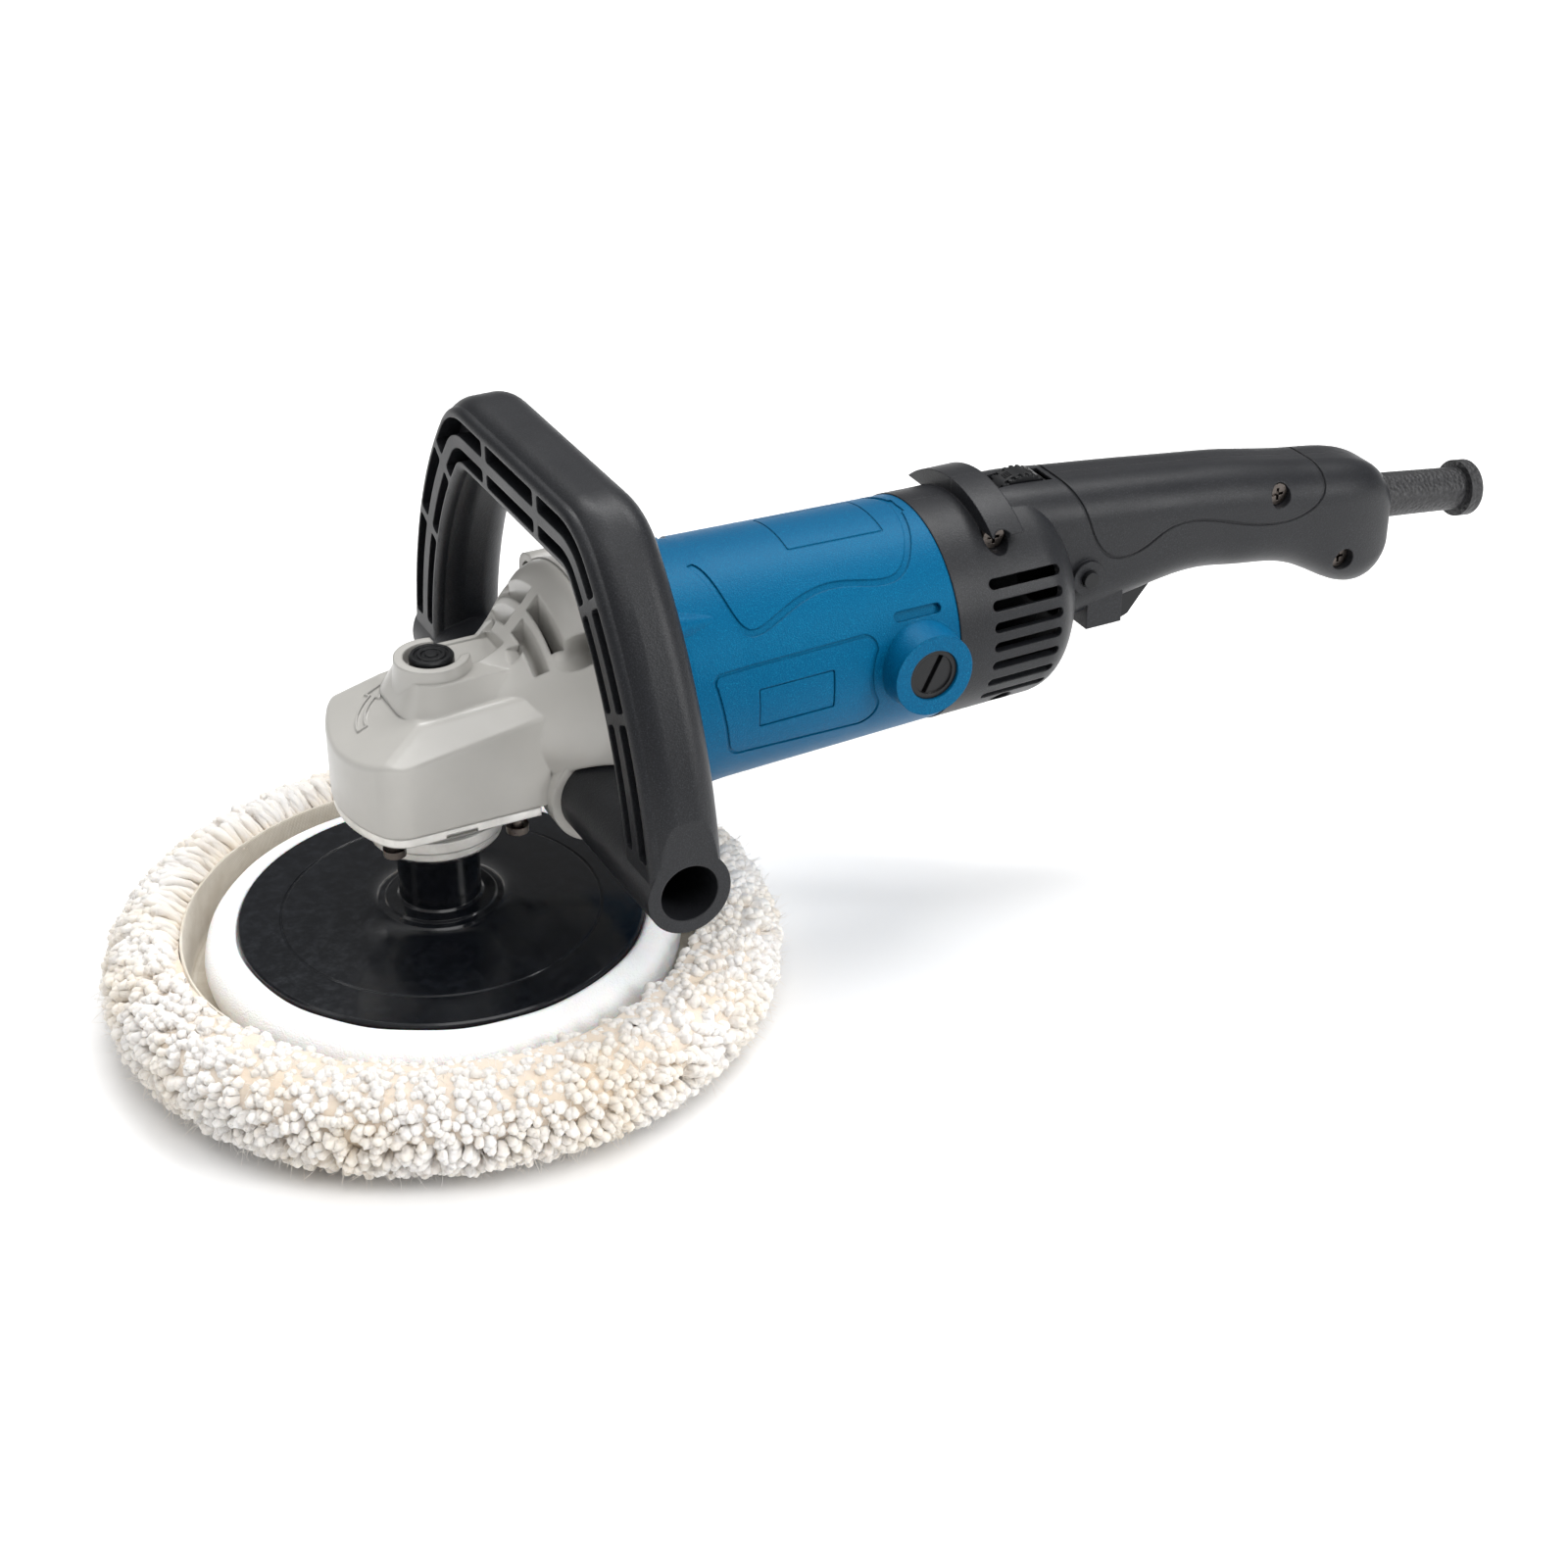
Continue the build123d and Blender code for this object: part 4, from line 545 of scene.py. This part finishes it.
# ---- foam interface pad and cloth cup ---------------------------------------------------------------------
def foam_look():
    """White moulded foam with fine pores."""
    m = Nodes("foam")
    pores = m.voronoi(1500)
    cells = m.noise(700, 4.0, 0.6)
    big = m.noise(60, 3.0, 0.5)
    base = m.ramp(big, "Fac", [(0.3, lin(246, 246, 246)), (0.7, lin(253, 253, 252))])
    m.wire(base, "Color", m.bsdf, "Base Color")
    r = m.span(cells, "Fac", 0.82, 0.96)
    m.wire(r, "Result", m.bsdf, "Roughness")
    m.set(Specular_IOR_Level=0.25, Subsurface_Weight=0.35, Subsurface_Scale=0.004)
    m.bumps([(cells, "Fac", 0.25, 0.0004), (pores, "Distance", 0.45, 0.0004)])
    return m.mat


def cloth_look():
    """Plain-weave canvas, unbleached, woven round the cup."""
    m = Nodes("cup_cloth")
    sep = m.add("ShaderNodeSeparateXYZ")
    m.wire(m.coord, "Object", sep, "Vector")
    turn = m.add("ShaderNodeMath", operation="ARCTAN2")
    m.wire(sep, "Y", turn, 0)
    m.wire(sep, "X", turn, 1)
    comb = m.add("ShaderNodeCombineXYZ")
    scale = m.add("ShaderNodeMath", operation="MULTIPLY")
    scale.inputs[1].default_value = 0.0895                  # radius of the cup, so the weave is square
    m.wire(turn, "Value", scale, 0)
    m.wire(scale, "Value", comb, "X")
    m.wire(sep, "Z", comb, "Y")
    waves = []
    for axis in ("X", "Y"):
        w = m.add("ShaderNodeTexWave", Scale=520.0, Distortion=0.6, Detail=1.0)
        w.bands_direction = axis
        m.wire(comb, "Vector", w, "Vector")
        waves.append(w)
    both = m.add("ShaderNodeMath", operation="MULTIPLY")
    m.wire(waves[0], "Fac", both, 0)
    m.wire(waves[1], "Fac", both, 1)
    worn = m.noise(120, 4.0, 0.6)
    tone = m.ramp(both, "Value", [(0.0, lin(206, 198, 184)), (0.6, lin(234, 228, 217))])
    stain = m.ramp(worn, "Fac", [(0.35, (0.88, 0.86, 0.83)), (0.65, (1, 1, 1))])
    m.multiply(tone, stain)
    r = m.span(both, "Value", 0.85, 0.98)
    m.wire(r, "Result", m.bsdf, "Roughness")
    m.set(Specular_IOR_Level=0.2, Sheen_Weight=0.3)
    m.bumps([(both, "Value", 0.5, 0.0003), (worn, "Fac", 0.3, 0.0005)])
    return m.mat


def arc(cx, cz, r, a0, a1, n):
    """n + 1 points of an arc in the profile plane, angles in degrees."""
    turns = [math.radians(a0 + (a1 - a0) * k / n) for k in range(n + 1)]
    return [(cx + r * math.cos(t), cz + r * math.sin(t)) for t in turns]


foam_profile = ([(0.0690, 0.0319), (0.0702, 0.0322), (0.0706, 0.0338)]
                + arc(0.0722, 0.0322, 0.0024, 130, 62, 4) + arc(0.0722, 0.0244, 0.0099, 58, -8, 10)
                + [(0.0812, 0.0190), (0.0790, 0.0160), (0.0770, 0.0152), (0.0690, 0.0151)])
foam_obj = turned("foam_ring", foam_profile, foam_look(), 288,
                  lambda a, k: (hump(a, 61, (3, 5, 8, 13), 0.0006),
                                hump(a, 62, (2, 5, 9, 16), 0.0004)))
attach(foam_obj, "spindle_set")
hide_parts("foam_pad")

cup_profile = [(0.0001, 0.0122), (0.0860, 0.0122), (0.0880, 0.0128), (0.0884, 0.0150),
               (0.0886, 0.0322), (0.0888, 0.0330), (0.0892, 0.0332), (0.0896, 0.0329),
               (0.0897, 0.0318), (0.0894, 0.0150), (0.0893, 0.0120), (0.0001, 0.0119)]


def cup_ripple(a, k):
    """Only the wall waves in and out, and only its rim up and down."""
    return (((k > 2) & (k < 10)) * hump(a, 71, (4, 7, 12, 19), 0.0007),
            ((k > 3) & (k < 9)) * hump(a, 72, (3, 8, 15, 27), 0.0008))


cup = turned("cloth_cup", cup_profile, cloth_look(), 320, cup_ripple)
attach(cup, "spindle_set")
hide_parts("wool_backing")

# ---- floor, light ---------------------------------------------------------------------------------------
floor_mat = Nodes("floor")
floor_noise = floor_mat.noise(3.0, 2.0, 0.5)
floor_tone = floor_mat.ramp(floor_noise, "Fac", [(0.3, (0.90, 0.90, 0.90)), (0.7, (0.93, 0.93, 0.93))])
floor_mat.wire(floor_tone, "Color", floor_mat.bsdf, "Base Color")
floor_mat.set(Roughness=0.9, Specular_IOR_Level=0.1)
FLOOR_Z = -0.0003
floor = make_mesh("floor", [(x, y, FLOOR_Z) for x, y in ((-6, -6), (6, -6), (6, 6), (-6, 6))],
                  [(0, 1, 2, 3)], floor_mat.mat)

world = bpy.data.worlds.new("studio")
bpy.context.scene.world = world
world.use_nodes = True
sky = world.node_tree
where = sky.nodes.new("ShaderNodeTexCoord")
height = sky.nodes.new("ShaderNodeSeparateXYZ")
glow = sky.nodes.new("ShaderNodeValToRGB")
sky.links.new(where.outputs["Generated"], height.inputs["Vector"])
sky.links.new(height.outputs["Z"], glow.inputs["Fac"])
sky.links.new(glow.outputs["Color"], sky.nodes["Background"].inputs["Color"])
# grey round the horizon, white overhead
for at, v in ((0.0, 0.30), (0.35, 0.16), (0.62, 0.22), (0.85, 1.0)):
    stop = glow.color_ramp.elements.new(at) if at > 0 else glow.color_ramp.elements[0]
    stop.position, stop.color = at, (v, v, v, 1)
glow.color_ramp.elements[-1].color = (1, 1, 1, 1)
sky.nodes["Background"].inputs["Strength"].default_value = 1.3


def softbox(name, spot, aim, size, watts):
    """Rectangular area light at spot, facing aim; size is width and height in metres."""
    data = bpy.data.lights.new(name, "AREA")
    data.shape = "RECTANGLE"
    data.size, data.size_y = size
    data.energy = watts
    light = bpy.data.objects.new(name, data)
    light.location = spot
    light.rotation_euler = (Vector(aim) - Vector(spot)).to_track_quat("-Z", "Y").to_euler()
    bpy.context.scene.collection.objects.link(light)


softbox("key", (0.1, -0.9, 1.7), (0.1, 0, 0.1), (1.3, 0.9), 11)
softbox("left", (-1.6, 0.1, 0.9), (0.05, 0, 0.1), (0.5, 1.0), 2.5)
softbox("right", (1.3, -1.5, 0.9), (0.1, 0, 0.1), (0.5, 1.1), 21)
softbox("top", (0.72, 0.72, 1.8), (0.2, 0, 0.1), (2.2, 0.24), 30)
